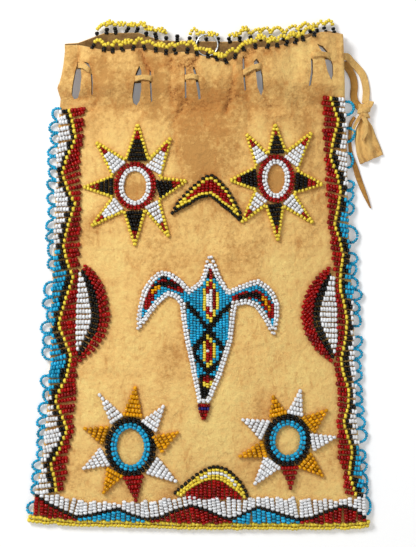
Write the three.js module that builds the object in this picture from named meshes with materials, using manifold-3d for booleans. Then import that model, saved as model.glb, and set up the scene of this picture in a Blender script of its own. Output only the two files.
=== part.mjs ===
// A flat bag of tanned hide with lane-stitched beadwork, lying on its back.
// It is two hide panels sewn together round the sides and the foot, drawn up at the neck by a thong
// that runs through slits, and edged with loops of threaded beads.
// Millimetres, +Z up. The foot points to -Y, the mouth to +Y, and the back lies on z = 0.

import * as THREE from "three";
import { mergeVertices } from "three/addons/utils/BufferGeometryUtils.js";
import Module from "manifold-3d";

const wasm = await Module();
wasm.setup();

// Hide and how the bag stands
const HIDE = 1.4;                 // thickness of the tanned hide
const GAP = 0.3;                  // clearance between pieces that lie on or beside each other
const CROWN = 12.5;               // rise of the front panel over the back one, at mid width
const FOOT_RISE = 90;             // distance over which the front rises from the sewn foot
const NECK_SAG = 0.16;            // share of the crown that the drawn neck loses
const NECK_FOLD = 0.8;            // height of the gathers at the neck
const NECK_FOLD_PITCH = 38;       // distance from one gather to the next
const NECK_LOW = 101;             // y at which the neck starts to lift off the surface
const NECK_FULL = 114;            // y from which the neck is fully lifted

// Thong, its slits and its free ends
const LACE_WIDTH = 4.4;
const LACE_THICKNESS = 1.2;
const LACE_CLEARANCE = 0.6;       // between the thong and the hide that it passes under or over
const SLIT_SLACK = 1.1;           // free width of a slit on each side of the thong
const SLIT_LENGTH = 22;
const SLIT_SPACING = 8.2;         // between the two slits of a pair
const LACE_EXIT_STEP = 4.7;       // the two ends leave the neck side by side at this distance
const LACE_EXIT_RISE = 1.2;       // from the last crossing up to the place where the ends leave the neck
const LACE_TURN_INSET = 2.2;      // from the hide's left edge to the turn of the thong
const LONG_RUN = 4 * LACE_WIDTH;  // a longer run between two slits follows the panels at RUN_SHARES
const RUN_SHARES = [0.25, 0.5, 0.75];

// Beadwork
const BEAD = 1.8;                 // height of a sewn bead
const LINE = 1.7;                 // width of a line of single beads
const BLACK_LINE = 2.4;           // width of a line two beads wide
const EDGE_INSET = 0.8;           // bare hide outside the border fields
const LOOP_BEAD = 1.3;            // diameter of the small beads threaded in the edging
const FOOT_EDGING = 3.2;          // width of the two rows along the foot
const STEM = 3;                   // length of the short stems of the mouth edging
const ARCH_RISE = 4.2;            // height of an arch over its stems
const LOOP_ROOT = 0.125;          // share of a side loop, at each end, that lies on the hide's edge
const LOOP_SHOULDER = 0.3125;     // share of a side loop, from each end, at which it is fully out
const MOUND_BLACK = 0.3;          // share of the mound's arc that is black
const WING_MARGIN = 0.45;         // bare hide between the figure's wings and its outline
const LEAST = 0.4;                // narrowest that a beaded field may become

// Hanging ring
const RING_DIAMETER = 14;
const RING_WIRE = 1.1;
const RING_X = 4.5;
const RING_INSET = 2.1;           // from the back panel's mouth edge in to the middle of the ring

// Facets
const FRONT_COLUMNS = 20;
const BACK_COLUMNS = 14;
const RING_SIDES = 18;
const CORD_SIDES = 8;
const TORUS_SIDES = 6;
const STRAND_STEPS = 12;
const KNOT_SIDES = 12;
const KNOT_ROWS = 8;
// A mitred corner reaches no further than its width over this cosine
const BAND_LEAST_COSINE = 0.5;
const TIP_LEAST_COSINE = 0.2;

// Outline of the hide: [y, x] down both sides, [x, y] along the foot and the two edges of the mouth
const LEFT_EDGE = [
  [-150, -101], [-133.5, -99.3], [-117.3, -95.7], [-99.3, -93.3], [-78.3, -91.5], [-51.3, -89.7],
  [-21.3, -89.1], [8.7, -87.9], [44.7, -86.7], [80.7, -85.5], [104.7, -83.7], [125.7, -81.5], [140, -80],
];
const RIGHT_EDGE = [
  [-150, 100.5], [-129.3, 98.7], [-108.3, 96.3], [-87.3, 94.5], [-57.3, 93.3], [-21.3, 92.7], [8.7, 90.3],
  [44.7, 89.1], [80.7, 88.5], [104.7, 87.3], [128.7, 86.7], [145, 86.1],
];
const FOOT_EDGE = [[-101, -146.1], [-72, -148.5], [-48, -148.8], [-3, -150.3], [90, -150.3], [101, -149.1]];
const FRONT_MOUTH = [
  [-80, 137.7], [-71.7, 137.7], [-53.7, 133.5], [-34.5, 135.3], [-18.9, 131.7], [-9.3, 132.9], [7.5, 129.3],
  [15.9, 126.3], [21.9, 129.9], [27.9, 135.3], [43.5, 135.9], [60.3, 139.5], [73.5, 145.5], [86.1, 144.3],
];
const BACK_MOUTH = [
  [-80, 138.9], [-71.7, 139.5], [-56.1, 145.5], [-35.7, 145.5], [-21.9, 140.7], [-5.7, 140.7],
  [12.3, 140.1], [37.5, 141.3], [48.3, 141.3], [61.5, 144.3], [78.3, 146.7], [86.1, 144.9],
];
// Rows of the panels between the foot and the neck
const PANEL_ROWS = [-142, -128, -112, -96, -78, -60, -25, 10, 45, 80, NECK_LOW, NECK_FULL];
const MOUTH_ROWS = 3;

// Slit pairs: middle of the pair [x, y], and the y at which the thong crosses it
const SLIT_PAIRS = [
  [-69.6, 116.7, 121.5], [-33.3, 113.7, 116.5], [-4.8, 116.7, 117.5], [30.6, 119.4, 122],
  [71.7, 125.4, 130],
];

// Side bands, from the neck down: [y, x of the wave line, x of the inner edge]
const LEFT_WAVE = [
  [98.7, -78.3, -68.1], [90.3, -75.9, -70.5], [81.9, -74.1, -71.1], [71.1, -79.5, -72],
  [60.9, -82.5, -72.3], [50.7, -78.9, -72.3], [42.3, -74.6, -71.8], [31.5, -78.3, -72.3],
  [17.7, -81.9, -72.9], [7.5, -79.5, -73.5], [-2.1, -75.9, -73.1], [-15.3, -80.7, -74.4],
  [-30.3, -84.8, -75], [-40.5, -80.7, -75], [-49.5, -77.1, -74.3], [-62.1, -80.1, -74.4],
  [-75.3, -86.9, -75.3], [-84.3, -83.1, -76.5], [-93.3, -79.5, -76.7], [-104.1, -83.7, -78.9],
  [-114.9, -89.7, -80.1], [-123.3, -87.2, -81.5], [-129.9, -86.5, -83.1],
];
const RIGHT_WAVE = [
  [105.9, 78.9, 74.7], [92.7, 83.6, 75.3], [81.9, 80.7, 75.3], [70.5, 78.6, 75.9], [60.9, 82.5, 76.5],
  [50.7, 84.9, 76.8], [39.9, 83.2, 77.7], [29.7, 81.2, 78.3], [20.7, 84.3, 79.5], [11.7, 86.4, 80.1],
  [1.5, 84.9, 81.9], [-8.7, 84.6, 81.9], [-18.3, 87.2, 83.1], [-27.9, 88.8, 83.4], [-39.3, 87.6, 83.4],
  [-51.3, 85.1, 82.2], [-59.7, 86.4, 82.5], [-69.3, 89.6, 83.7], [-78.9, 89.6, 84], [-89.1, 86.8, 84],
  [-97.5, 89.1, 84], [-105.9, 92, 83.7], [-113.1, 90.9, 84.3], [-119.7, 90, 87.3], [-132.3, 93.9, 87.3],
];
// Foot band: [x, y of the wave line, y of the top]
const FOOT_WAVE = [
  [-98.1, -131.9, -130.7], [-90.9, -137.1, -133.5], [-82.5, -141.3, -134.3], [-74.1, -144.9, -136.5],
  [-64.5, -143.4, -137.1], [-56.1, -141.3, -137.7], [-48.9, -139.8, -137.9], [-41.7, -143.1, -138.6],
  [-32.1, -146.2, -137.1], [-23.7, -144.9, -135.9], [-14.7, -140.7, -135.9], [-4.5, -137.7, -135.4],
  [3.9, -140.4, -135.6], [13.5, -144.6, -135.5], [19.5, -146.1, -135.5], [27.9, -141.9, -135.6],
  [35.1, -138.6, -136.2], [42.3, -140.7, -135.3], [50.7, -143.7, -135], [60.3, -146.4, -135.9],
  [68.7, -144.9, -136.2], [77.1, -141.3, -136.8], [86.7, -138, -135.5], [93.9, -140.4, -134.4],
  [99.5, -144.9, -134.7],
];
// Rungs of the foot band at which its wave touches the foot and one field ends
const FOOT_FIELDS = [
  ["red_left", 0, 3], ["blue_left", 3, 8], ["red_middle", 8, 14], ["blue_right", 14, 19],
  ["red_right", 19, 24],
];

// Half moons: outer edges of the white, the black and the red crescent, [x, y] from the top tip down
const MOON_LEFT = [
  [
    [-72, 3.3], [-69.3, -2.7], [-67.2, -9.3], [-66, -16.5], [-64.5, -24.9], [-66.3, -33.3], [-70.2, -40.5],
    [-73.2, -48],
  ],
  [
    [-70, 3.3], [-65.1, -4.1], [-62, -11.2], [-60.5, -18], [-59.9, -26.1], [-61.7, -34.5], [-66.9, -42.5],
    [-72.3, -49.9],
  ],
  [
    [-70, 7.3], [-62.9, 1.6], [-58.1, -5.7], [-55.2, -14.1], [-53.4, -25.5], [-56.1, -36], [-62.7, -45.7],
    [-73.5, -54],
  ],
];
const MOON_RIGHT = [
  [
    [79.5, 0.9], [76.8, -6.9], [74.1, -14.7], [72.3, -22.5], [72.8, -29.7], [75.9, -36.9], [78.9, -43.5],
    [81, -49.5],
  ],
  [
    [78.2, 0.9], [72.1, -7.3], [69.2, -15.3], [68, -23.1], [68.4, -30.9], [71.6, -38.4], [75.9, -45.2],
    [80.3, -51.8],
  ],
  [
    [79, 5.5], [71.8, 0.3], [65.6, -7.3], [62.5, -15.9], [60.9, -24.9], [63.1, -34.5], [69.1, -44.1],
    [80, -54],
  ],
];

// Stars: centre, half width and half height of the hole and of the two rings, and the tips, clockwise
const STAR_UPPER_LEFT = {
  name: "star_upper_left", centre: [-38.6, 53.1], radii: [[6.9, 9], [9.6, 11.7], [12.6, 14.4]],
  standoff: 4, outlined: true,
  tips: [
    [-37, 90.3], [-17.1, 81.9], [-7.5, 56.1], [-18.3, 22.5], [-38.7, 17.1], [-65.1, 29.1], [-69.6, 52.5],
    [-62.1, 79.5],
  ],
};
const STAR_UPPER_RIGHT = {
  name: "star_upper_right", centre: [45.9, 57.4], radii: [[5.4, 9], [8.4, 11.7], [11.1, 14.4]],
  standoff: 4, outlined: true,
  tips: [
    [45.3, 90.3], [67.5, 85.5], [74.1, 54.3], [68.1, 30.9], [47.1, 20.1], [25.5, 30.9], [18.3, 56.4],
    [27.9, 84.3],
  ],
};
const STAR_LOWER_LEFT = {
  name: "star_lower_left", centre: [-41.4, -103.5], radii: [[8.1, 11.1], [12, 14.7], [15.3, 17.7]],
  standoff: 1.2, outlined: false,
  tips: [
    [-38.4, -66.3], [-20.7, -77.7], [-11.7, -93.9], [-12.9, -125.1], [-38.1, -136.2], [-58.5, -132.9],
    [-71.1, -117.3], [-70.5, -92.1], [-60.9, -70.5],
  ],
};
const STAR_LOWER_RIGHT = {
  name: "star_lower_right", centre: [53, -99.6], radii: [[7.5, 8.9], [11.1, 12.6], [13.6, 15.6]],
  standoff: 1.2, outlined: false,
  tips: [
    [43.8, -71.7], [60.9, -68.1], [77.7, -80.7], [83, -97.5], [75.3, -122.1], [54.9, -130.5],
    [32.4, -126.9], [22.5, -109.5], [24.3, -86.1],
  ],
};

// Winged figure. Each rung is [x, y] on one edge of a field and [x, y] on the edge across from it.
const FIGURE_OUTLINE = [
  [6.3, 14.1, 6.6, 3.9], [9.9, 7.5, 7.8, 1.5], [12.3, -0.3, 9.6, -2.7], [17.1, -9.3, 17.1, -12.6],
  [24.3, -6.3, 24.3, -9.6], [30.3, -3.9, 30.3, -7.5], [35.1, -2.7, 34.8, -6], [40.5, -5.7, 38.4, -8.4],
  [45.3, -11.1, 42.3, -12.9], [47.7, -17.7, 44.7, -18.3], [47.7, -25.5, 44.7, -24.9],
  [46.5, -32.1, 44.1, -28.5], [44.7, -38.1, 43.8, -30.9], [41.1, -32.1, 43.1, -29.1],
  [36.9, -24.9, 39.9, -23.1], [32.7, -19.5, 34.8, -16.5], [27.9, -17.7, 28.5, -14.4],
  [22.5, -19.2, 18.9, -15.9], [21.3, -26.1, 18, -26.1], [19.5, -40.5, 16.5, -39.9],
  [16.5, -50.1, 13.5, -49.2], [13.5, -59.7, 10.5, -58.5], [9.9, -68.1, 6.9, -66.6],
  [6.3, -76.5, 4.2, -71.7], [-0.9, -76.5, 1.2, -71.7], [-2.7, -68.1, 0.1, -66.6],
  [-4.5, -59.7, -1.5, -59.1], [-6.3, -50.1, -3.3, -49.5], [-8.7, -39.3, -5.7, -38.7],
  [-10.5, -28.5, -7.5, -27.9], [-11.7, -18.3, -8.4, -17.1], [-14.7, -14.1, -12.6, -11.7],
  [-18.9, -12.9, -18.9, -9.6], [-23.7, -17.1, -26.1, -15], [-28.5, -23.1, -30.6, -20.7],
  [-32.7, -29.1, -33.9, -25.8], [-37.5, -34.5, -34.8, -27.6], [-37.5, -26.1, -34.6, -24.3],
  [-36.3, -17.1, -33.3, -17.7], [-33.9, -8.7, -30.9, -10.5], [-29.7, -2.1, -27.3, -4.8],
  [-23.7, 2.4, -22.8, -0.9], [-17.1, 1.5, -17.7, -1.8], [-11.1, -2.7, -12.9, -5.4], [-5.7, -8.4, -6.3, -12],
  [-0.3, -3.9, 1.5, -6.6], [2.7, 1.5, 4.2, -1.5], [3.9, 8.7, 5.7, 2.7],
];
const FIGURE_WINGS = [
  [-33.3, -17.7, -30.3, -20.7], [-30.9, -10.5, -26.1, -15], [-27.3, -4.8, -22.5, -11.8],
  [-22.8, -0.9, -18.9, -9.6], [-17.7, -1.8, -15.3, -10.5], [-12.9, -5.4, -12.4, -11.3],
  [-6.3, -12, -7.2, -16.5], [1.5, -6.6, -0.9, -22.2], [4.2, -1.7, 3, -26.2], [6.6, 3.6, 6.3, -29.7],
  [9.6, -2.7, 12.3, -22.8], [17.1, -12.6, 18.3, -16], [24.3, -9.6, 23.7, -15], [30.3, -7.5, 28.5, -14.4],
  [34.8, -6, 34.5, -16.2], [38.4, -8.4, 37.5, -19.7], [42.3, -12.9, 39.6, -22.8],
  [44.7, -18.3, 41.3, -25.2],
];
const FIGURE_VEE = [[-5.5, -17.6, -6.6, -20.1], [6.3, -30, 6.3, -34.5], [17.9, -17.2, 17.6, -20.4]];
const FIGURE_KITE = [
  [5.7, -31.5, 6.9, -31.5], [0.9, -39.3, 9.9, -39.3], [-2.7, -47.1, 13.4, -46.5], [-0.7, -58.5, 9.7, -57.9],
  [0.7, -66.9, 6.1, -66.6], [1.7, -70.9, 3.7, -70.9],
];
const FIGURE_FLANK_LEFT = [
  [-7.7, -22.2, -6.2, -22.2], [-7.1, -28.5, -0.9, -28.1], [-6.1, -35.1, 3.6, -34.1],
  [-5.1, -40.5, 0.1, -40.4], [-4, -45.3, -2, -45.3],
];
const FIGURE_FLANK_RIGHT = [
  [18.3, -22.2, 16.8, -22.5], [17.9, -28.5, 11.5, -28.2], [17.1, -35.1, 8.1, -34.4],
  [16.2, -40.5, 10.7, -40.5], [14.7, -45.3, 12.9, -45.3],
];
const FIGURE_TIP = [[-0.9, -76.8, 6.3, -76.8], [-0.3, -81.6, 5.4, -81.6], [2, -86.7, 3.4, -86.7]];

// Chevron above the figure and mound at the foot, in the same kind of rungs: top edge, lower edge
const CHEVRON = [
  [-17.6, 36.6, -16.3, 35], [-14.7, 41.7, -12.9, 37.8], [-11.1, 46.5, -8.7, 39.9], [-6.9, 50.7, -5.1, 41.7],
  [-2.1, 54.9, -1.5, 44.4], [3.3, 59.1, 2.7, 45.9], [6.9, 60.3, 6.3, 46.5], [11.1, 57.9, 9.3, 44.4],
  [15.3, 53.7, 12.3, 41.7], [18.9, 48.9, 15.3, 39.3], [22.5, 42.9, 18.3, 36.9], [24.9, 37.5, 21.3, 34.2],
  [25.2, 33.2, 23.7, 31.6],
];
const MOUND = [
  [-16.5, -131.7, -11.1, -133.4], [-11.7, -127.5, -6.9, -129.7], [-5.7, -122.1, -2.7, -127],
  [0.3, -117.9, 1.5, -124.7], [5.1, -115.5, 5.1, -123.5], [9.9, -114.3, 9.9, -123],
  [15.3, -115.5, 14.7, -124.7], [20.1, -119.1, 18.3, -127.2], [24.9, -123.9, 21.9, -130],
  [27.9, -128.7, 24.3, -132.2], [30.3, -134.1, 26.5, -134.4],
];

// Loops of the side edging, from the neck down: [y at which a loop starts, x that it reaches out to].
// A row with one number is bare thread along the edge.
const LOOPS_LEFT = [
  [100.5, -90.3], [92.7, -90.9], [85.5, -91.5], [78.3, -92.1], [71.7, -92.7], [64.2, -92.1], [56.7, -92.7],
  [49.5, -93.3], [41.7, -92.7], [33.9, -93.3], [26.7, -93.3], [20.1, -91.5], [9.9, -92.7], [3.3],
  [-3.9, -93.9], [-13.5, -95.1], [-20.7, -93.9], [-27.9, -96.3], [-35.7, -95.7], [-43.5, -95.7], [-51.9],
  [-60.9, -96.9], [-69.3, -95.7], [-77.1, -97.5], [-85.5, -99.3], [-91.5, -98.7], [-98.1, -99.3],
  [-104.7, -99.9], [-111.3, -101.1], [-118.5, -102.3], [-125.7, -103], [-132.3], [-136.5, -104.5], [-144.5],
];
const LOOPS_RIGHT = [
  [104.7, 93.9], [95.7], [88.5, 94.5], [79.5], [73.5, 93.9], [63.9], [56.7, 94.8], [50.7, 93.9],
  [43.5, 94.5], [35.7], [29.7, 95.7], [18.9], [13.5, 96.3], [6.3, 95.7], [-1.5, 96.3], [-8.7, 98.1],
  [-15.9, 97.5], [-23.1, 97.8], [-31.5], [-37.5, 98.1], [-44.7, 98.7], [-51.3, 98.1], [-58.5, 99],
  [-65.1, 98.7], [-71.7, 99.3], [-78.3, 99.9], [-84.9, 100.5], [-92.7, 101.7], [-101.7], [-105.9, 101.1],
  [-113.1, 101.7], [-119.7, 102.3], [-126.9, 102.9], [-133.5, 103.8], [-144.9],
];
// Stems of the mouth edging, [x]. An arch of beads joins each stem to the next.
const FRONT_STEMS = [
  -64.5, -57.3, -51.9, -45.9, -39.9, -32.7, -26.1, -20.1, -14.1, -7.5, -1.5, 5.1, 10.5, 16.1, 21.3, 26.7,
  33.3, 40.5, 46.5, 51.9, 57.3, 62.3, 68.7, 75, 81,
];
const BACK_STEMS = [
  -61.5, -56.1, -50.4, -44.4, -38.4, -32.1, -26.1, -20.1, -13.5, -6.3, -1.5, 4.5, 11.1, 18.3, 24.3, 31.5,
  36.9, 43.2, 50.4, 57.3, 61.8, 66.6, 71.4, 76.2, 81.3,
];
// Corners of an arch: share of the way to the next stem, and height over the hide's edge
const ARCH = [[0, 0], [0.12, STEM], [0.32, STEM + ARCH_RISE], [0.68, STEM + ARCH_RISE], [0.88, STEM]];

// Free ends of the thong: middle lines [x, y, z] and outlines
const LACE_REST = LACE_THICKNESS / 2;
const UPPER_STRAND = [
  [89.4, 131, 4.4], [91.9, 128.2, 2.6], [95.4, 124.8, 1], [98.4, 121, LACE_REST], [100, 116.3, LACE_REST],
  [100.8, 111.3, LACE_REST], [100.6, 107, 1.2], [100.2, 103.3, 2.2],
];
const LOWER_STRAND = [
  [89.2, 125.2, 2.9], [90.9, 122.2, 1.6], [92.1, 118.3, LACE_REST], [92.7, 113.3, LACE_REST],
  [93.2, 108.3, LACE_REST], [94.4, 104.4, LACE_REST], [96.6, 101.5, LACE_REST],
];
const KNOT = { centre: [99.3, 98.4], radii: [4, 4.5, 2.6] };
const FAN = [
  [97.2, 93.7, 101.2, 93.9], [94.8, 88, 104.2, 89.6], [94.2, 80.5, 106.4, 83.5], [95.2, 73, 109, 77.4],
  [97.2, 66.8, 110.7, 72.6],
];
const FAN_PLEATS = 4;
const FAN_PLEAT_RISE = 1.2;
const TAIL = [
  [93.7, 95.2], [91.3, 91], [90.9, 86], [90.8, 79.5], [91.8, 72.3], [94, 65.2], [96.3, 57.9], [99.6, 49.2],
  [103.4, 40.1],
];
const TAIL_WIDTHS = [2, 2, 2, 2.2, 3, 3.6, 3.2, 2.4, 0.8];

// Value of a list [[t, value, ...], ...] at t, straight between its rows
function along(list, t, column = 1) {
  const rising = list[list.length - 1][0] > list[0][0];
  const rows = rising ? list : [...list].reverse();
  let i = 0;
  while (i < rows.length - 2 && t > rows[i + 1][0]) i += 1;
  const share = (t - rows[i][0]) / (rows[i + 1][0] - rows[i][0]);
  const held = Math.min(1, Math.max(0, share));
  return rows[i][column] + (rows[i + 1][column] - rows[i][column]) * held;
}

const mix = (a, b, t) => a + (b - a) * t;
const leftEdge = (y) => along(LEFT_EDGE, y);
const rightEdge = (y) => along(RIGHT_EDGE, y);
const footEdge = (x) => along(FOOT_EDGE, x);
const neckShare = (y) => Math.min(1, Math.max(0, (y - NECK_LOW) / (NECK_FULL - NECK_LOW)));

// The neck stands clear of the surface by the thong that crosses under the back panel
const backUnder = (y) => neckShare(y) * (LACE_THICKNESS + 2 * GAP);
const backTop = (y) => backUnder(y) + HIDE;
// At the neck the side seams are open, and both runs of the thong fit between the panels
const seamGap = (y) => GAP + neckShare(y) * (2 * LACE_THICKNESS + 2 * LACE_CLEARANCE);

// Height of the front panel's outer face at a place on the bag
function frontTop(x, y) {
  const across = (2 * (x - leftEdge(y))) / (rightEdge(y) - leftEdge(y)) - 1;
  const inside = Math.min(1, Math.abs(across));
  const up = Math.min(1, Math.max(0, (y - footEdge(x)) / FOOT_RISE));
  const neck = neckShare(y);
  const down = 1 - up;
  const crown = CROWN * (1 - inside * inside) * (1 - down * down) * (1 - NECK_SAG * neck);
  const fold = NECK_FOLD * neck * (1 - inside) * Math.cos((2 * Math.PI * x) / NECK_FOLD_PITCH);
  return backTop(y) + seamGap(y) + crown + fold + HIDE;
}

// A closed mesh from corner points and faces, turned so that its faces point outwards
function solid(points, faces) {
  const geometry = new THREE.BufferGeometry();
  geometry.setAttribute("position", new THREE.Float32BufferAttribute(points.flat(), 3));
  const a = new THREE.Vector3();
  const b = new THREE.Vector3();
  const c = new THREE.Vector3();
  let volume = 0;
  for (const [i, j, k] of faces) {
    a.fromArray(points[i]);
    b.fromArray(points[j]);
    c.fromArray(points[k]);
    volume += a.dot(b.cross(c));
  }
  geometry.setIndex(faces.flatMap(([i, j, k]) => (volume > 0 ? [i, j, k] : [i, k, j])));
  return geometry;
}

// Triangles that close one end of a loft: a fan from its first corner, or pairs of corners across a strip
function endFaces(sides, strip) {
  const faces = [];
  if (!strip) {
    for (let j = 1; j < sides - 1; j += 1) faces.push([0, j, j + 1]);
    return faces;
  }
  for (let j = 0; j < sides / 2 - 1; j += 1) {
    const across = sides - 1 - j;
    faces.push([j, j + 1, across - 1], [j, across - 1, across]);
  }
  return faces;
}

// A closed body from a row of equal sections, each a loop of corners. A ring joins its last section to its
// first. A strip has flat, wide sections.
function loft(sections, { ring = false, strip = false } = {}) {
  const sides = sections[0].length;
  const corner = (i, j) => (i % sections.length) * sides + (j % sides);
  const faces = [];
  const spans = ring ? sections.length : sections.length - 1;
  for (let i = 0; i < spans; i += 1) {
    for (let j = 0; j < sides; j += 1) {
      faces.push([corner(i, j), corner(i, j + 1), corner(i + 1, j + 1)]);
      faces.push([corner(i, j), corner(i + 1, j + 1), corner(i + 1, j)]);
    }
  }
  const ends = ring ? [] : endFaces(sides, strip);
  for (const [a, b, c] of ends) {
    faces.push([corner(0, a), corner(0, c), corner(0, b)]);
    faces.push([corner(spans, a), corner(spans, b), corner(spans, c)]);
  }
  return solid(sections.flat(), faces);
}

// A beaded field between two edges. Each rung is [x, y] on one edge and [x, y] on the edge across.
// It lies a clearance above the front panel, one bead high.
function field(rungs, { ring = false, margin = GAP } = {}) {
  const sections = rungs.map(([ax, ay, bx, by]) => {
    const width = Math.hypot(bx - ax, by - ay);
    const trim = Math.min(margin, (width - LEAST) / 2) / width;
    const a = [mix(ax, bx, trim), mix(ay, by, trim)];
    const b = [mix(bx, ax, trim), mix(by, ay, trim)];
    const lowA = frontTop(...a) + GAP;
    const lowB = frontTop(...b) + GAP;
    return [[...a, lowA], [...b, lowB], [...b, lowB + BEAD], [...a, lowA + BEAD]];
  });
  return loft(sections, { ring });
}

// Step sideways from a path at one of its points, square to the line between the points beside it
function sideways(path, i, reach) {
  const [ax, ay] = path[Math.max(0, i - 1)];
  const [bx, by] = path[Math.min(path.length - 1, i + 1)];
  const run = Math.hypot(bx - ax, by - ay);
  return [(-(by - ay) / run) * reach, ((bx - ax) / run) * reach];
}

// Step from a corner of a line to the same corner of the line beside it, on the right as the line runs
function mitre([ax, ay], [x, y], [bx, by], reach, leastCosine) {
  const into = new THREE.Vector2(x - ax, y - ay).normalize();
  const out = new THREE.Vector2(bx - x, by - y).normalize();
  const run = into.clone().add(out).normalize();
  const cosine = Math.max(leastCosine, run.dot(into), run.dot(out));
  return [(run.y * reach) / cosine, (-run.x * reach) / cosine];
}

// A three-sided row of threaded beads along a path of [x, y, z], lying on its flat side
function beadRow(path, width, height) {
  const sections = path.map(([x, y, z], i) => {
    const [dx, dy] = sideways(path, i, width / 2);
    return [[x + dx, y + dy, z], [x - dx, y - dy, z], [x, y, z + height]];
  });
  return loft(sections);
}

// Manifold solids are used only to cut and join
function toManifold(geometry) {
  const merged = geometry.clone();
  merged.deleteAttribute("normal");
  merged.deleteAttribute("uv");
  const welded = mergeVertices(merged, 1e-4);
  const vertProperties = new Float32Array(welded.attributes.position.array);
  const triVerts = new Uint32Array(welded.index.array);
  return new wasm.Manifold(new wasm.Mesh({ numProp: 3, vertProperties, triVerts }));
}

function fromManifold(body) {
  const mesh = body.getMesh();
  const places = new Float32Array(mesh.vertProperties);
  const geometry = new THREE.BufferGeometry();
  geometry.setAttribute("position", new THREE.BufferAttribute(places, mesh.numProp));
  geometry.setIndex(new THREE.BufferAttribute(new Uint32Array(mesh.triVerts), 1));
  return geometry;
}

// The slits, as tall pointed blades to cut both panels with
function slitBlades() {
  const width = LACE_THICKNESS + 2 * SLIT_SLACK;
  const outline = new THREE.Shape([
    new THREE.Vector2(-width / 2, SLIT_LENGTH / 2 - width),
    new THREE.Vector2(-width / 2, width - SLIT_LENGTH / 2),
    new THREE.Vector2(0, -SLIT_LENGTH / 2),
    new THREE.Vector2(width / 2, width - SLIT_LENGTH / 2),
    new THREE.Vector2(width / 2, SLIT_LENGTH / 2 - width),
    new THREE.Vector2(0, SLIT_LENGTH / 2),
  ]);
  const height = 4 * (CROWN + HIDE);
  return SLIT_PAIRS.flatMap(([x, y]) =>
    [-1, 1].map((side) => {
      const blade = new THREE.ExtrudeGeometry(outline, { depth: height, bevelEnabled: false });
      blade.translate(x + (side * SLIT_SPACING) / 2, y, -height / 2);
      return toManifold(blade);
    }),
  );
}

// The edge of a mouth as its panel has it, one corner for each column
function mouthLine(mouth, columns) {
  const [start, end] = [mouth[0][0], mouth[mouth.length - 1][0]];
  return Array.from({ length: columns + 1 }, (_, column) => {
    const u = column / columns;
    const y = along(mouth, mix(start, end, u));
    return [mix(leftEdge(y), rightEdge(y), u), y];
  });
}

// One hide panel: rows from the foot to its mouth edge, with the slits cut through
function panel(line, under, over, blades) {
  const columns = line.length - 1;
  const rowHeight = (row, column) => {
    const u = column / columns;
    if (row === 0) return footEdge(mix(LEFT_EDGE[0][1], RIGHT_EDGE[0][1], u));
    if (row <= PANEL_ROWS.length) return PANEL_ROWS[row - 1];
    return mix(NECK_FULL, line[column][1], (row - PANEL_ROWS.length) / MOUTH_ROWS);
  };
  const lastRow = PANEL_ROWS.length + MOUTH_ROWS;
  const sections = [];
  for (let row = 0; row <= lastRow; row += 1) {
    const lower = [];
    const upper = [];
    for (let column = 0; column <= columns; column += 1) {
      const y = rowHeight(row, column);
      const x = mix(leftEdge(y), rightEdge(y), column / columns);
      lower.push([x, y, under(x, y)]);
      upper.unshift([x, y, over(x, y)]);
    }
    sections.push([...lower, ...upper]);
  }
  const sheet = toManifold(loft(sections, { strip: true }));
  return blades.reduce((body, blade) => body.subtract(blade), sheet);
}

const frontUnder = (x, y) => frontTop(x, y) - HIDE;

// The thong inside the neck: across the front, round the left end and back across the back panel
function drawstring() {
  const half = LACE_THICKNESS / 2;
  const hop = SLIT_SPACING / 2;
  const insideFront = (x, y) => frontUnder(x, y) - LACE_CLEARANCE / 2 - half;
  const outsideFront = (x, y) => frontTop(x, y) + LACE_CLEARANCE / 2 + half;
  const insideBack = (x, y) => backTop(y) + GAP + half;
  const outsideBack = (x, y) => backUnder(y) - GAP - half;
  const crossing = SLIT_PAIRS.map(([x, , y]) => [x, y]);
  const [firstY, lastY] = [crossing[0][1], crossing[crossing.length - 1][1]];
  const start = [leftEdge(firstY) + LACE_TURN_INSET, firstY];
  const end = [rightEdge(lastY), lastY + LACE_EXIT_RISE];
  const run = (inside, outside, exitStep) => {
    const stops = [start, ...crossing, [end[0], end[1] - exitStep]];
    const path = [];
    stops.forEach(([x, y], i) => {
      if (i > 0 && i < stops.length - 1) {
        path.push([x - hop, y, inside(x - hop, y)], [x - hop, y, outside(x - hop, y)]);
        path.push([x, y, outside(x, y)]);
        path.push([x + hop, y, outside(x + hop, y)], [x + hop, y, inside(x + hop, y)]);
      } else {
        path.push([x, y, inside(x, y)]);
      }
      if (i < stops.length - 1) {
        const from = i === 0 ? x : x + hop;
        const to = i + 1 === stops.length - 1 ? stops[i + 1][0] : stops[i + 1][0] - hop;
        const shares = Math.abs(to - from) > LONG_RUN ? RUN_SHARES : [];
        for (const t of shares) {
          const here = [mix(from, to, t), mix(y, stops[i + 1][1], t)];
          path.push([...here, inside(...here)]);
        }
      }
    });
    return path;
  };
  const front = run(insideFront, outsideFront, 0);
  const back = run(insideBack, outsideBack, LACE_EXIT_STEP);
  return { body: band([...front.reverse(), ...back]), frontExit: front[0], backExit: back[back.length - 1] };
}

// A flat band whose width lies along Y, following a path of [x, y, z] with mitred corners
function band(path) {
  const line = path.map(([x, , z]) => [x, z]);
  const sections = path.map(([x, y, z], i) => {
    const before = line[Math.max(0, i - 1)];
    const after = line[Math.min(line.length - 1, i + 1)];
    const [dx, dz] = mitre(before, line[i], after, LACE_THICKNESS / 2, BAND_LEAST_COSINE);
    const [front, rear] = [y - LACE_WIDTH / 2, y + LACE_WIDTH / 2];
    return [[x + dx, front, z + dz], [x + dx, rear, z + dz], [x - dx, rear, z - dz], [x - dx, front, z - dz]];
  });
  return loft(sections);
}

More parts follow.
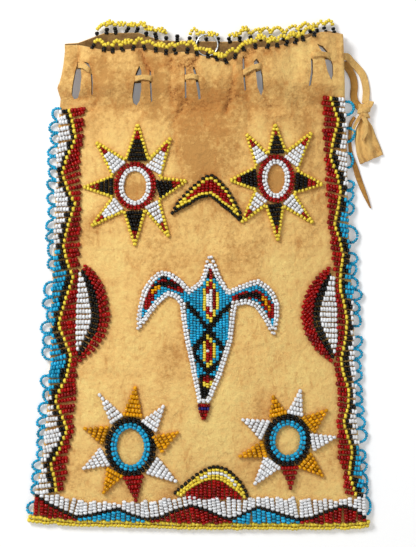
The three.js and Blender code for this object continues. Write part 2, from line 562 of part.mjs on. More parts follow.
// A free end of the thong, as a flat tube along a path
function strand(exit, path) {
  const start = [exit[0] + GAP, exit[1], exit[2]];
  const straight = [start[0] + LACE_THICKNESS, exit[1], exit[2]];
  const points = [start, straight, ...path].map((p) => new THREE.Vector3(...p));
  const curve = new THREE.CatmullRomCurve3(points, false, "centripetal");
  const outline = [];
  for (let i = 0; i < CORD_SIDES; i += 1) {
    const turn = (2 * Math.PI * (i + 0.5)) / CORD_SIDES;
    outline.push(new THREE.Vector2((Math.cos(turn) * LACE_THICKNESS) / 2, (Math.sin(turn) * LACE_WIDTH) / 2));
  }
  const shape = new THREE.Shape(outline);
  return new THREE.ExtrudeGeometry(shape, { steps: STRAND_STEPS, extrudePath: curve, bevelEnabled: false });
}

function knot() {
  const { centre, radii } = KNOT;
  const ball = new THREE.SphereGeometry(1, KNOT_SIDES, KNOT_ROWS);
  ball.scale(...radii);
  ball.translate(centre[0], centre[1], radii[2]);
  return ball;
}

// The cut end of the thong below the knot, spread into a pleated fan
function fanEnd() {
  const sections = FAN.map(([ax, ay, bx, by], row) => {
    const lower = [];
    const upper = [];
    for (let i = 0; i <= FAN_PLEATS; i += 1) {
      const t = i / FAN_PLEATS;
      const rise = i % 2 === 1 && i > 1 ? (FAN_PLEAT_RISE * row) / (FAN.length - 1) : 0;
      lower.push([mix(ax, bx, t), mix(ay, by, t), rise]);
      upper.unshift([mix(ax, bx, t), mix(ay, by, t), rise + LACE_THICKNESS]);
    }
    return [...lower, ...upper];
  });
  return loft(sections, { strip: true });
}

// The other cut end, a flat strip that narrows to a point
function tail() {
  const sections = TAIL.map(([x, y], i) => {
    const [dx, dy] = sideways(TAIL, i, TAIL_WIDTHS[i] / 2);
    const [a, b] = [[x + dx, y + dy], [x - dx, y - dy]];
    return [[...a, 0], [...b, 0], [...b, LACE_THICKNESS], [...a, LACE_THICKNESS]];
  });
  return loft(sections);
}

// Side bands: border field at the hide's edge, black line, yellow line on the wave, red field inside
function sideBand(wave, edge) {
  const toEdge = Math.sign(edge(0));
  const lineEdge = LINE / 2;
  const blackEdge = lineEdge + BLACK_LINE;
  const limit = (y) => edge(y) - toEdge * EDGE_INSET;
  const rung = (y, from, to) => [from, y, to, y];
  return {
    red: wave.map(([y, x, inner]) => rung(y, inner, x - toEdge * lineEdge)),
    yellow: wave.map(([y, x]) => rung(y, x - toEdge * lineEdge, x + toEdge * lineEdge)),
    black: wave.map(([y, x]) => rung(y, x + toEdge * lineEdge, x + toEdge * blackEdge)),
    border: wave.map(([y, x]) => {
      const least = toEdge * (x + toEdge * blackEdge) + LEAST;
      return rung(y, x + toEdge * blackEdge, toEdge * Math.max(least, toEdge * limit(y)));
    }),
  };
}

// Foot band: white field over the wave, a black line under it, and red and blue fields down to the foot
function footBand() {
  const bottom = (x) => footEdge(x) + EDGE_INSET / 2;
  const rung = (x, from, to) => [x, from, x, to];
  const parts = {
    white: FOOT_WAVE.map(([x, y, top]) => rung(x, top, y)),
    black: FOOT_WAVE.map(([x, y]) => rung(x, y, y - BLACK_LINE)),
  };
  for (const [name, first, last] of FOOT_FIELDS) {
    parts[name] = FOOT_WAVE.slice(first, last + 1).map(([x, y], i, all) => {
      const away = i === 0 ? GAP : i === all.length - 1 ? -GAP : 0;
      const top = y - BLACK_LINE;
      return rung(x + away, top, Math.min(top - LEAST, bottom(x)));
    });
  }
  return parts;
}

// Half moon of three crescents that lean on the inner edge of a side band
function halfMoon(edges, wave) {
  const inner = (y) => along(wave, y, 2);
  const side = Math.sign(inner(0));
  const inward = (x, y) => side * Math.min(side * x, side * inner(y) - 2 * GAP);
  const clipped = edges.map((edge) => edge.map(([x, y]) => [inward(x, y), y]));
  const against = clipped[0].map(([, y]) => [inner(y) - side * GAP, y]);
  const [white, black, red] = clipped;
  const rungs = (from, to) => from.map(([x, y], i) => [x, y, ...to[i]]);
  return { white: rungs(against, white), black: rungs(white, black), red: rungs(black, red) };
}

const ellipse = ([cx, cy], [rx, ry], angle) => {
  const reach = 1 / Math.hypot(Math.cos(angle) / rx, Math.sin(angle) / ry);
  return [cx + reach * Math.cos(angle), cy + reach * Math.sin(angle)];
};

function ringRungs(centre, inner, outer) {
  return Array.from({ length: RING_SIDES }, (_, i) => {
    const angle = (2 * Math.PI * i) / RING_SIDES;
    return [...ellipse(centre, inner, angle), ...ellipse(centre, outer, angle)];
  });
}

// Star of rays round two rings. The valleys stand off the outer ring, midway between the tips.
function star({ centre, radii, tips, standoff, outlined }) {
  const [hole, middle, outer] = radii;
  const angleOf = ([x, y]) => Math.atan2(y - centre[1], x - centre[0]);
  const contour = [];
  const base = [];
  const seat = outer.map((r) => r + 2 * GAP);
  tips.forEach((tip, i) => {
    const here = angleOf(tip);
    const next = angleOf(tips[(i + 1) % tips.length]);
    const turn = next < here ? next - here : next - here - 2 * Math.PI;
    const between = here + turn / 2;
    contour.push(tip, ellipse(centre, outer.map((r) => r + standoff), between));
    base.push(ellipse(centre, seat, here), ellipse(centre, seat, between));
  });
  const parts = {
    inner_ring: ringRungs(centre, hole, middle),
    outer_ring: ringRungs(centre, middle, outer),
  };
  if (!outlined) {
    parts.rays = contour.map((p, i) => [...p, ...base[i]]);
    return parts;
  }
  const inset = insetLoop(contour, LINE);
  parts.outline = contour.map((p, i) => [...p, ...inset[i]]);
  parts.rays = inset.map((p, i) => [...p, ...base[i]]);
  return parts;
}

// A closed loop of corners moved inwards by a width. The loop runs clockwise.
function insetLoop(loop, width) {
  return loop.map((corner, i) => {
    const before = loop[(i + loop.length - 1) % loop.length];
    const after = loop[(i + 1) % loop.length];
    const [dx, dy] = mitre(before, corner, after, width, TIP_LEAST_COSINE);
    return [corner[0] + dx, corner[1] + dy];
  });
}

// Chevron: a black outline all round, and the field inside it
function chevron() {
  const loop = [
    ...CHEVRON.map(([ax, ay]) => [ax, ay]),
    ...CHEVRON.map(([, , bx, by]) => [bx, by]).reverse(),
  ];
  const inner = insetLoop(loop, LINE);
  const count = CHEVRON.length;
  const inside = [];
  for (let i = 1; i < count - 1; i += 1) inside.push([...inner[i], ...inner[2 * count - 1 - i]]);
  return { outline: loop.map((p, i) => [...p, ...inner[i]]), field: inside };
}

// Mound: a black arc, a yellow arc under it and a red field in the middle
function mound() {
  const share = (rungs, from, to) =>
    rungs.map(([ax, ay, bx, by]) => [mix(ax, bx, from), mix(ay, by, from), mix(ax, bx, to), mix(ay, by, to)]);
  const floor = (x) => along(FOOT_WAVE, x, 2);
  const red = MOUND.slice(1, -1).map(([, , bx, by]) => [bx, by, bx, Math.min(by - LEAST, floor(bx) + GAP)]);
  return { black: share(MOUND, 0, MOUND_BLACK), yellow: share(MOUND, MOUND_BLACK, 1), red };
}

// Loops of small beads along one side of the hide, threaded on one line
function sideEdging(loops, edge) {
  const out = Math.sign(edge(0));
  const near = (y) => edge(y) + out * (GAP + LOOP_BEAD / 2);
  const rim = HIDE + GAP;
  const path = [];
  for (let i = 0; i < loops.length - 1; i += 1) {
    const [top, reach] = loops[i];
    if (reach === undefined) continue;
    const at = (share) => mix(top, loops[i + 1][0], share);
    const far = reach - (out * LOOP_BEAD) / 2;
    path.push([near(at(LOOP_ROOT)), at(LOOP_ROOT), rim], [far, at(LOOP_SHOULDER), rim]);
    path.push([far, at(1 - LOOP_SHOULDER), rim], [near(at(1 - LOOP_ROOT)), at(1 - LOOP_ROOT), rim]);
  }
  return beadRow(path, LOOP_BEAD, LOOP_BEAD);
}

// Scalloped edging of a mouth: arches of small beads between stems on the hide's edge
function mouthEdging(stems, line, level) {
  const foot = (x) => along(line, x) + 2 * GAP + LOOP_BEAD / 2;
  const path = [];
  for (let i = 0; i < stems.length - 1; i += 1) {
    const [a, b] = [stems[i], stems[i + 1]];
    for (const [share, rise] of ARCH) {
      const x = mix(a, b, share);
      path.push([x, foot(x) + rise, level(x, along(line, x))]);
    }
  }
  const end = stems[stems.length - 1];
  path.push([end, foot(end), level(end, along(line, end))]);
  return beadRow(path, LOOP_BEAD, LOOP_BEAD);
}

// Two rows of beads rolled over the seam at the foot
function footEdging() {
  const sections = FOOT_EDGE.map(([x, y]) => {
    const [near, far] = [y - GAP, y - GAP - FOOT_EDGING];
    return [[x, near, GAP], [x, far, GAP], [x, far, HIDE + BEAD], [x, near, 2 * HIDE]];
  });
  return loft(sections);
}

function hangingRing(backLine) {
  const radius = (RING_DIAMETER - RING_WIRE) / 2;
  const ring = new THREE.TorusGeometry(radius, RING_WIRE / 2, TORUS_SIDES, RING_SIDES);
  const y = along(backLine, RING_X) - RING_INSET;
  ring.translate(RING_X, y, backTop(y) + GAP + RING_WIRE / 2);
  return ring;
}

// Materials
const COLOURS = {
  hide: "#dcb473", lace: "#e0c08a", dark_lace: "#a87c48", steel: "#b9bcc0",
  white: "#eceae4", red: "#8e1620", black: "#1a1917", yellow: "#e8c62e", blue: "#1fa0cc", amber: "#d79a12",
};
const ROUGHNESS = { hide: 0.85, lace: 0.85, dark_lace: 0.85, steel: 0.3 };
const BEAD_ROUGHNESS = 0.25;
const finish = (name) =>
  new THREE.MeshStandardMaterial({
    color: COLOURS[name],
    roughness: ROUGHNESS[name] ?? BEAD_ROUGHNESS,
    metalness: name === "steel" ? 1 : 0,
  });

const bag = new THREE.Group();
function add(name, geometry, colour) {
  const mesh = new THREE.Mesh(geometry, finish(colour));
  mesh.name = name;
  bag.add(mesh);
}

const blades = slitBlades();
const frontLine = mouthLine(FRONT_MOUTH, FRONT_COLUMNS);
const backLine = mouthLine(BACK_MOUTH, BACK_COLUMNS);
const frontPanel = panel(frontLine, frontUnder, frontTop, blades);
const backPanel = panel(backLine, (x, y) => backUnder(y), (x, y) => backTop(y), blades);
add("front_panel", fromManifold(frontPanel), "hide");
add("back_panel", fromManifold(backPanel), "hide");

const thong = drawstring();
add("drawstring", thong.body, "lace");
add("drawstring_upper_strand", strand(thong.frontExit, UPPER_STRAND), "lace");
add("drawstring_lower_strand", strand(thong.backExit, LOWER_STRAND), "dark_lace");
add("drawstring_knot", knot(), "lace");
add("drawstring_fan_end", fanEnd(), "lace");
add("drawstring_tail", tail(), "dark_lace");
add("hanging_ring", hangingRing(backLine), "steel");

const frontLevel = (x, y) => frontTop(x, y) - (HIDE + LOOP_BEAD) / 2;
const backLevel = (x, y) => backUnder(y) + (HIDE - LOOP_BEAD) / 2;
add("mouth_edging_front", mouthEdging(FRONT_STEMS, frontLine, frontLevel), "yellow");
add("mouth_edging_back", mouthEdging(BACK_STEMS, backLine, backLevel), "yellow");
add("side_edging_left", sideEdging(LOOPS_LEFT, leftEdge), "blue");
add("side_edging_right", sideEdging(LOOPS_RIGHT, rightEdge), "blue");
add("foot_edging", footEdging(), "yellow");

for (const [side, wave, edge] of [["left", LEFT_WAVE, leftEdge], ["right", RIGHT_WAVE, rightEdge]]) {
  const parts = sideBand(wave, edge);
  for (const [part, rungs] of Object.entries(parts)) {
    add(`${side}_band_${part}`, field(rungs, { margin: GAP / 2 }), part === "border" ? "white" : part);
  }
}
for (const [part, rungs] of Object.entries(footBand())) {
  add(`foot_band_${part}`, field(rungs, { margin: GAP / 2 }), part.split("_")[0]);
}
for (const [side, edges, wave] of [["left", MOON_LEFT, LEFT_WAVE], ["right", MOON_RIGHT, RIGHT_WAVE]]) {
  for (const [part, rungs] of Object.entries(halfMoon(edges, wave))) {
    add(`half_moon_${side}_${part}`, field(rungs, { margin: GAP / 2 }), part);
  }
}

const STAR_COLOURS = { inner_ring: "white", outer_ring: "red", outline: "yellow", rays: "black" };
const ROSETTE_COLOURS = { inner_ring: "blue", outer_ring: "black", rays: "amber" };
for (const shape of [STAR_UPPER_LEFT, STAR_UPPER_RIGHT, STAR_LOWER_LEFT, STAR_LOWER_RIGHT]) {
  const colours = shape.outlined ? STAR_COLOURS : ROSETTE_COLOURS;
  for (const [part, rungs] of Object.entries(star(shape))) {
    add(`${shape.name}_${part}`, field(rungs, { ring: true, margin: GAP / 2 }), colours[part]);
  }
}

add("figure_outline", field(FIGURE_OUTLINE, { ring: true, margin: 0 }), "white");
add("figure_wings", field(FIGURE_WINGS, { margin: WING_MARGIN }), "blue");
const vee = toManifold(field(FIGURE_VEE));
const kite = toManifold(field(FIGURE_KITE));
add("figure_lattice", fromManifold(vee.add(kite)), "black");
add("figure_flank_left", field(FIGURE_FLANK_LEFT), "blue");
add("figure_flank_right", field(FIGURE_FLANK_RIGHT), "blue");
add("figure_tip", field(FIGURE_TIP), "red");

const arrow = chevron();
add("chevron_outline", field(arrow.outline, { ring: true, margin: GAP / 2 }), "black");
add("chevron_field", field(arrow.field, { margin: GAP / 2 }), "red");
for (const [part, rungs] of Object.entries(mound())) {
  add(`mound_${part}`, field(rungs, { margin: GAP / 2 }), part);
}

export default bag;
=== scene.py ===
import math
import random
from collections import namedtuple

import bmesh
import bpy
import numpy as np
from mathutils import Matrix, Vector, noise
from mathutils.kdtree import KDTree


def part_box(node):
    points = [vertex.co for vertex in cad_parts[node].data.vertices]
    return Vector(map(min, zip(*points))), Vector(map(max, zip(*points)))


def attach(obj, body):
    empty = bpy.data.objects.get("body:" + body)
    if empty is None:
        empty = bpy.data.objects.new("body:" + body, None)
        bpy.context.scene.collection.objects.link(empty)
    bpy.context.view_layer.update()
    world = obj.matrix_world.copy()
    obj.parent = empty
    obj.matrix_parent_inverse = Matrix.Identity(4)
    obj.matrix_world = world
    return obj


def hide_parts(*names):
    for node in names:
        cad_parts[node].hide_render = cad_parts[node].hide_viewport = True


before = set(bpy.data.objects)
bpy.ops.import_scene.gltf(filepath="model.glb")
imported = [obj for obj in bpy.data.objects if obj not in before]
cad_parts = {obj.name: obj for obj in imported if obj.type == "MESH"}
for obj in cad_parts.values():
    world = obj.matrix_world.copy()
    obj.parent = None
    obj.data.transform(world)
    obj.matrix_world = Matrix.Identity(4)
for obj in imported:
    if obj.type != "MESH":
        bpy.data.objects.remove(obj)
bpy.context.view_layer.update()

# A flat bag of tanned hide with sewn seed beads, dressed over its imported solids.
# Lists and sizes are in millimetres, as in the part's source. Meshes are in metres.

bl_info = {
    "name": "Beaded medicine bag",
    "version": (1, 0, 0),
    "blender": (4, 5, 0),
    "location": "View3D > Sidebar > Bag",
    "description": "Dresses a hide bag with sewn beads, edging, a thong and a hanging ring",
    "category": "Object",
}

MM = 0.001
PIXEL = 0.6                     # millimetres for a pixel of the photograph
PHOTO_ORIGIN = (199.5, 274.5)   # pixel that lies over the origin
PHOTO_CENTRE = (208, 273.5)
PHOTO_HEIGHT = 547


def px(*points):
    """Places on the bag, in millimetres, from pixels of the photograph."""
    return [((x - PHOTO_ORIGIN[0]) * PIXEL, (PHOTO_ORIGIN[1] - y) * PIXEL) for x, y in points]


# Outline of the hide: (y, x) down both sides, (x, y) along the foot and the two edges of the mouth
LEFT_EDGE = (
    (-150, -101), (-133.5, -99.3), (-117.3, -95.7), (-99.3, -93.3), (-78.3, -91.5), (-51.3, -89.7),
    (-21.3, -89.1), (8.7, -87.9), (44.7, -86.7), (80.7, -85.5), (100, -84.1), (105.9, -83.4), (109.5, -84.6),
    (112.6, -85.4), (115.4, -83.9), (119.6, -82.8), (126, -81.6), (131.4, -81), (135, -80.6), (140, -81.2),
)
RIGHT_EDGE = (
    (-150, 100.5), (-129.3, 98.7), (-108.3, 96.3), (-87.3, 94.5), (-57.3, 93.3), (-21.3, 92.7),
    (8.7, 90.3), (44.7, 89.1), (80.7, 88.5), (104.7, 87.3), (128.7, 86.7), (145, 86.1),
)
FOOT_EDGE = ((-101, -146.1), (-72, -148.5), (-48, -148.8), (-3, -150.3), (90, -150.3), (101, -149.1))
FRONT_MOUTH = (
    (-80, 137.7), (-71.7, 137.7), (-53.7, 133.5), (-34.5, 135.3), (-18.9, 131.7), (-9.3, 132.9), (7.5, 129.3),
    (15.9, 126.3), (21.9, 129.9), (27.9, 135.3), (43.5, 135.9), (60.3, 139.5), (73.5, 145.5), (86.1, 144.3),
)
BACK_MOUTH = (
    (-80, 138.9), (-71.7, 139.5), (-56.1, 145.5), (-35.7, 145.5), (-21.9, 140.7), (-5.7, 140.7), (12.3, 140.1),
    (37.5, 141.3), (48.3, 141.3), (61.5, 144.3), (78.3, 146.7), (86.1, 144.9),
)

# How the hide lies
HIDE = 1.4
GAP = 0.3
LEAST_HEIGHT = 0.02             # nothing of the hide lies lower than this
CROWN = 12.5
FOOT_RISE = 90
NECK_SAG = 0.16
NECK_FOLD = 0.8
NECK_FOLD_PITCH = 38
NECK_LOW, NECK_FULL = 101, 114
LACE_CLEARANCE = 0.6

# Creases of the hide: line, depth and width. A depth below nothing is a ridge.
CREASES = (
    (px((140.5, 50), (145, 62), (150, 73)), 2.6, 1.3),
    (px((144, 50), (148.5, 61), (153.5, 72)), -1.2, 1.4),
    (px((232, 60), (234, 76), (230, 95), (226, 112)), 1.8, 1.6),
    (px((236, 60), (238, 76), (234, 96)), -0.9, 1.5),
    (px((244, 60), (247, 78), (246, 100)), 0.9, 1.6),
    (px((171, 58), (170, 84), (173, 106)), 1.0, 1.6),
    (px((177, 60), (176, 84), (177, 112)), -0.7, 1.3),
    (px((186, 100), (180, 112), (174, 120)), 0.8, 1.4),
    (px((200, 98), (204, 112), (206, 126)), 0.9, 1.6),
    (px((216, 82), (226, 79), (234, 80)), -0.8, 1.2),
    (px((222, 112), (228, 98), (232, 84)), -0.8, 1.3),
    (px((255, 114), (274, 117), (292, 115)), -0.9, 1.3),
    (px((60, 92), (72, 98), (88, 97)), 1.2, 1.6),
    (px((58, 86), (64, 90), (72, 94)), -0.8, 1.4),
    (px((173, 112), (174, 140), (181, 168), (184, 196)), 0.8, 1.2),
    (px((304, 88), (309, 112), (307, 138)), 0.6, 1.6),
    (px((92, 66), (96, 84), (94, 108)), 0.9, 1.8),
    (px((262, 400), (264, 420)), 0.7, 1.3),
    (px((78, 44), (79.5, 54), (76, 64)), 1.5, 1.1),
    (px((246, 98), (250, 112), (247, 128)), 0.6, 1.5),
    (px((160, 94), (166, 100), (172, 94)), 0.6, 1.2),
    (px((176, 76), (185, 79), (186, 76)), 0.7, 1.0),
    (px((176, 92), (182, 90), (187, 93)), 0.7, 1.0),
    (px((196, 50), (198, 58), (194, 66)), 1.4, 1.3),
    (px((338, 40), (340, 56), (338, 74)), 0.7, 1.3),
    (px((309, 44), (315, 40), (324, 40)), 0.8, 1.3),
    (px((252, 50), (246, 58), (243, 64)), 1.2, 1.3),
    (px((142, 236), (150, 246), (146, 258)), 0.5, 1.2),
    (px((230, 244), (246, 252), (262, 250)), 0.45, 1.6),
    (px((96, 378), (112, 372), (130, 378)), 0.45, 1.8),
    (px((250, 350), (266, 346), (284, 352)), 0.45, 1.8),
)
# Brown patches of wear and handling: middle, half width, half height in pixels, and strength
STAINS = (
    (183, 64, 15, 10, 0.8), (192, 72, 7, 12, 0.7), (178, 92, 13, 10, 0.75), (184, 108, 14, 9, 0.7),
    (160, 66, 13, 6, 0.5), (222, 95, 22, 11, 0.55), (208, 108, 16, 9, 0.5), (240, 98, 9, 12, 0.45),
    (271, 106, 13, 8, 0.8), (262, 52, 20, 5, 0.6), (247, 60, 6, 16, 0.6), (266, 92, 9, 12, 0.5),
    (278, 122, 14, 8, 0.5), (92, 104, 9, 20, 0.5), (70, 99, 14, 6, 0.4), (320, 88, 9, 14, 0.35),
    (205, 128, 46, 9, 0.35), (178, 150, 5, 34, 0.4), (208, 176, 14, 8, 0.35), (240, 190, 9, 18, 0.35),
    (174, 206, 8, 10, 0.35), (190, 262, 20, 14, 0.3), (232, 272, 16, 10, 0.3), (262, 405, 6, 26, 0.35),
    (150, 340, 18, 30, 0.15), (247, 470, 12, 16, 0.35), (166, 496, 14, 8, 0.35), (110, 300, 8, 40, 0.2),
    (300, 330, 12, 30, 0.2), (75, 50, 5, 12, 0.25), (238, 345, 7, 50, 0.25), (182, 350, 7, 50, 0.3),
)

BEAD_SOIL_AND_SHADE, CREASE_SHADE = 0.75, 0.35     # soil and painted shade beside a bead, and painted shade in a crease one millimetre deep

# Broad darker tones of the hide: middle, half width, half height in pixels, and strength
TONES = (
    (90, 80, 50, 40, 1.0), (140, 95, 34, 30, 0.7), (205, 90, 50, 42, 0.9), (280, 85, 50, 40, 0.55),
    (335, 85, 22, 50, 0.3), (210, 150, 44, 40, 0.95), (210, 215, 44, 34, 0.9), (276, 178, 14, 22, 1.1),
    (135, 186, 14, 20, 1.0), (150, 250, 30, 24, 0.25), (250, 260, 40, 20, 0.4), (172, 350, 14, 50, 0.25),
    (250, 345, 14, 50, 0.35), (262, 410, 14, 24, 0.5), (170, 490, 20, 14, 0.5), (250, 480, 18, 16, 0.35),
    (95, 240, 12, 40, 0.3), (310, 140, 14, 60, 0.35), (110, 225, 30, 14, 0.3), (305, 235, 30, 16, 0.25),
)

# Slits of the neck, the left and the right one of each pair, as they stand open
SLITS = (
    px(
        (77.5, 61), (74.6, 72), (72.4, 84), (71.2, 94), (73.4, 98.6), (77.4, 97.6), (80, 90), (81.2, 78),
        (80.6, 66)),
    px((83, 61), (87.4, 65), (90.6, 73), (91.4, 84), (91.2, 95), (92.4, 94), (92.9, 83), (92, 72), (88.4, 63)),
    px(
        (139.4, 66), (136, 74), (133.6, 86), (132.2, 97), (133.4, 103), (136.6, 105.4), (139.6, 101), (141.4, 90),
        (141.6, 72)),
    px((149.6, 70), (149.8, 84), (151, 103), (152.4, 101), (151.6, 84), (151, 72)),
    px((184.6, 66), (184.6, 82), (185, 99), (186.4, 98), (186.2, 80), (185.8, 68)),
    px((192.6, 68), (195.4, 80), (197.6, 92), (198.6, 100), (200.6, 99), (200, 90), (197.6, 78), (194.6, 68)),
    px((242.6, 56), (242.6, 72), (244.6, 91), (246, 90), (244.6, 72), (244.2, 58)),
    px((253.4, 62), (256.5, 59), (260, 64), (262.4, 76), (263.4, 89), (261, 96), (257.4, 88), (255.8, 74)),
    px((310.8, 57), (311.2, 72), (308.8, 86), (311, 85), (313, 73), (312.8, 60)),
    px((317, 43.6), (323, 46), (329, 53), (333, 64), (333.4, 74), (331.6, 80), (327.4, 70), (324.6, 58), (321, 50)),
)
# Where the thong comes out of the hide and goes back in, at each pair of slits
CROSSINGS = (
    px((79, 65), (90.5, 70.5)), px((136, 79), (152, 79)), px((185.6, 78), (198, 78)), px((243.6, 73), (261, 66)),
    px((312, 55), (329, 55)),
)
LACE_EXIT_STEP = 4.7            # how far below the other strand the lower one leaves the neck

# Side bands, from the neck down: (y, x of the wave line, x of the inner edge)
LEFT_WAVE = (
    (98.7, -78.3, -68.1), (90.3, -75.9, -70.5), (81.9, -74.1, -71.1), (71.1, -79.5, -72), (60.9, -82.5, -72.3),
    (50.7, -78.9, -72.3), (42.3, -74.6, -71.8), (31.5, -78.3, -72.3), (17.7, -81.9, -72.9), (7.5, -79.5, -73.5),
    (-2.1, -75.9, -73.1), (-15.3, -80.7, -74.4), (-30.3, -84.8, -75), (-40.5, -80.7, -75), (-49.5, -77.1, -74.3),
    (-62.1, -80.1, -74.4), (-75.3, -86.9, -75.3), (-84.3, -83.1, -76.5), (-93.3, -79.5, -76.7),
    (-104.1, -83.7, -78.9), (-114.9, -89.7, -80.1), (-123.3, -87.2, -81.5), (-129.9, -86.5, -83.1),
)
RIGHT_WAVE = (
    (105.9, 78.9, 74.7), (92.7, 83.6, 75.3), (81.9, 80.7, 75.3), (70.5, 78.6, 75.9), (60.9, 82.5, 76.5),
    (50.7, 84.9, 76.8), (39.9, 83.2, 77.7), (29.7, 81.2, 78.3), (20.7, 84.3, 79.5), (11.7, 86.4, 80.1),
    (1.5, 84.9, 81.9), (-8.7, 84.6, 81.9), (-18.3, 87.2, 83.1), (-27.9, 88.8, 83.4), (-39.3, 87.6, 83.4),
    (-51.3, 85.1, 82.2), (-59.7, 86.4, 82.5), (-69.3, 89.6, 83.7), (-78.9, 89.6, 84), (-89.1, 86.8, 84),
    (-97.5, 89.1, 84), (-105.9, 92, 83.7), (-113.1, 90.9, 84.3), (-119.7, 90, 87.3), (-132.3, 93.9, 87.3),
)
# Stretches of y in which the border field is blue. Elsewhere it is white.
LEFT_BLUE = ((15.9, -71.7),)
RIGHT_BLUE = ((47.7, 17.7), (7.5, -14.1), (-102.3, -129.3))

# Foot band: (x, y of the wave line, y of the top), and the x at which one field below it ends
FOOT_WAVE = (
    (-98.1, -131.9, -130.7), (-90.9, -137.1, -133.5), (-82.5, -141.3, -134.3), (-74.1, -144.9, -136.5),
    (-64.5, -143.4, -137.1), (-56.1, -141.3, -137.7), (-48.9, -139.8, -137.9), (-41.7, -143.1, -138.6),
    (-32.1, -146.2, -137.1), (-23.7, -144.9, -135.9), (-14.7, -140.7, -135.9), (-4.5, -137.7, -135.4),
    (3.9, -140.4, -135.6), (13.5, -144.6, -135.5), (19.5, -146.1, -135.5), (27.9, -141.9, -135.6),
    (35.1, -138.6, -136.2), (42.3, -140.7, -135.3), (50.7, -143.7, -135), (60.3, -146.4, -135.9),
    (68.7, -144.9, -136.2), (77.1, -141.3, -136.8), (86.7, -138, -135.5), (93.9, -140.4, -134.4),
    (99.5, -144.9, -134.7),
)
FOOT_FIELDS = ((-74.1, "red"), (-32.1, "blue"), (19.5, "red"), (60.3, "blue"), (101, "red"))

# Half moons: outer edges of the white, the black and the red crescent, (x, y) from the top tip down
MOON_LEFT = (
    (
        (-72, 3.3), (-69.3, -2.7), (-67.2, -9.3), (-66, -16.5), (-64.5, -24.9), (-66.3, -33.3), (-70.2, -40.5),
        (-73.2, -48)),
    (
        (-70, 3.3), (-65.1, -4.1), (-62, -11.2), (-60.5, -18), (-59.9, -26.1), (-61.7, -34.5), (-66.9, -42.5),
        (-72.3, -49.9)),
    (
        (-70, 7.3), (-62.9, 1.6), (-58.1, -5.7), (-55.2, -14.1), (-53.4, -25.5), (-56.1, -36), (-62.7, -45.7),
        (-73.5, -54)),
)
MOON_RIGHT = (
    (
        (79.5, 0.9), (76.8, -6.9), (74.1, -14.7), (72.3, -22.5), (72.8, -29.7), (75.9, -36.9), (78.9, -43.5),
        (81, -49.5)),
    (
        (78.2, 0.9), (72.1, -7.3), (69.2, -15.3), (68, -23.1), (68.4, -30.9), (71.6, -38.4), (75.9, -45.2),
        (80.3, -51.8)),
    (
        (79, 5.5), (71.8, 0.3), (65.6, -7.3), (62.5, -15.9), (60.9, -24.9), (63.1, -34.5), (69.1, -44.1),
        (80, -54)),
)

# Stars: centre, half width and half height of the hole and the rings, then each ray clockwise: its tip, the two
# corners of its base and its colour
Star = namedtuple("Star", "name centre radii kind rings rays")
BLACK_AND_WHITE = ("black", "white")


def pointed(tips, valleys):
    """Rays of an outlined star, each between the valley before it and the one after it."""
    tips, valleys = px(*tips), px(*valleys)
    return [(tip, valleys[i - 1], valleys[i], BLACK_AND_WHITE[i % 2]) for i, tip in enumerate(tips)]


def loose(*rays):
    """Rays that stand apart, each as (colour, tip, base corner, base corner) in pixels."""
    return [(*px(tip, first, second), colour) for colour, tip, first, second in rays]


STARS = (
    Star(
        "star_upper_left", (-38.6, 53.1), ((6.9, 9), (9.6, 11.7), (12.6, 14.4)), "star", ("white", "red"),
        pointed(
            ((137.8, 124), (171, 138), (187, 181), (169, 237), (135, 246), (91, 226), (83, 187), (96, 142)),
            ((148.5, 160), (160, 178), (159, 200), (145, 210), (124, 211), (113, 197), (113, 176), (126, 160)),
        ),
    ),
    Star(
        "star_upper_right", (45.9, 57.4), ((5.4, 9), (8.4, 11.7), (11.1, 14.4)), "star", ("white", "red"),
        pointed(
            ((275, 124), (312, 132), (323, 184), (313, 223), (278, 241), (241, 223), (230, 180.5), (246, 134)),
            ((286, 152), (297, 170), (293.5, 193), (283, 206), (266, 205), (256, 190), (256.5, 167), (268, 154)),
        ),
    ),
    Star(
        "star_lower_left", (-41.4, -103.5), ((8.1, 11.1), (12, 14.7), (15.3, 17.7)), "rosette", ("blue", "black"),
        loose(
            ("amber", (135.5, 385), (122, 414), (143, 421)), ("white", (165, 404), (141, 420), (155, 436)),
            ("amber", (180, 431), (152, 435), (159, 456)), ("white", (178, 483), (156, 455), (145, 474)),
            ("red", (136, 504), (121.5, 475), (144.5, 475)), ("amber", (102, 496), (108, 465), (122, 479)),
            ("white", (81, 470), (102, 446), (109, 467)), ("amber", (82, 428), (110, 426), (104, 447)),
            ("white", (98, 392), (112, 427), (123, 414)),
        ),
    ),
    Star(
        "star_lower_right", (53, -99.6), ((7.5, 8.9), (11.1, 12.6), (13.6, 15.6)), "rosette", ("blue", "black"),
        loose(
            ("amber", (272.5, 394), (269, 421), (288, 413)), ("white", (301, 388), (286, 413), (303, 419)),
            ("amber", (329, 409), (303, 416), (313, 436)), ("white", (338, 437), (310, 433), (311, 453)),
            ("amber", (325, 478), (311, 452), (299, 469)), ("red", (291, 492), (280, 465), (300, 465)),
            ("white", (253.5, 486), (264, 456), (280, 469)), ("amber", (237, 457), (263, 440), (267, 458)),
            ("white", (240, 418), (270, 420), (262, 441)),
        ),
    ),
)
RED_TIP_SHARE = 0.52            # share of an outlined ray after which its rows are red

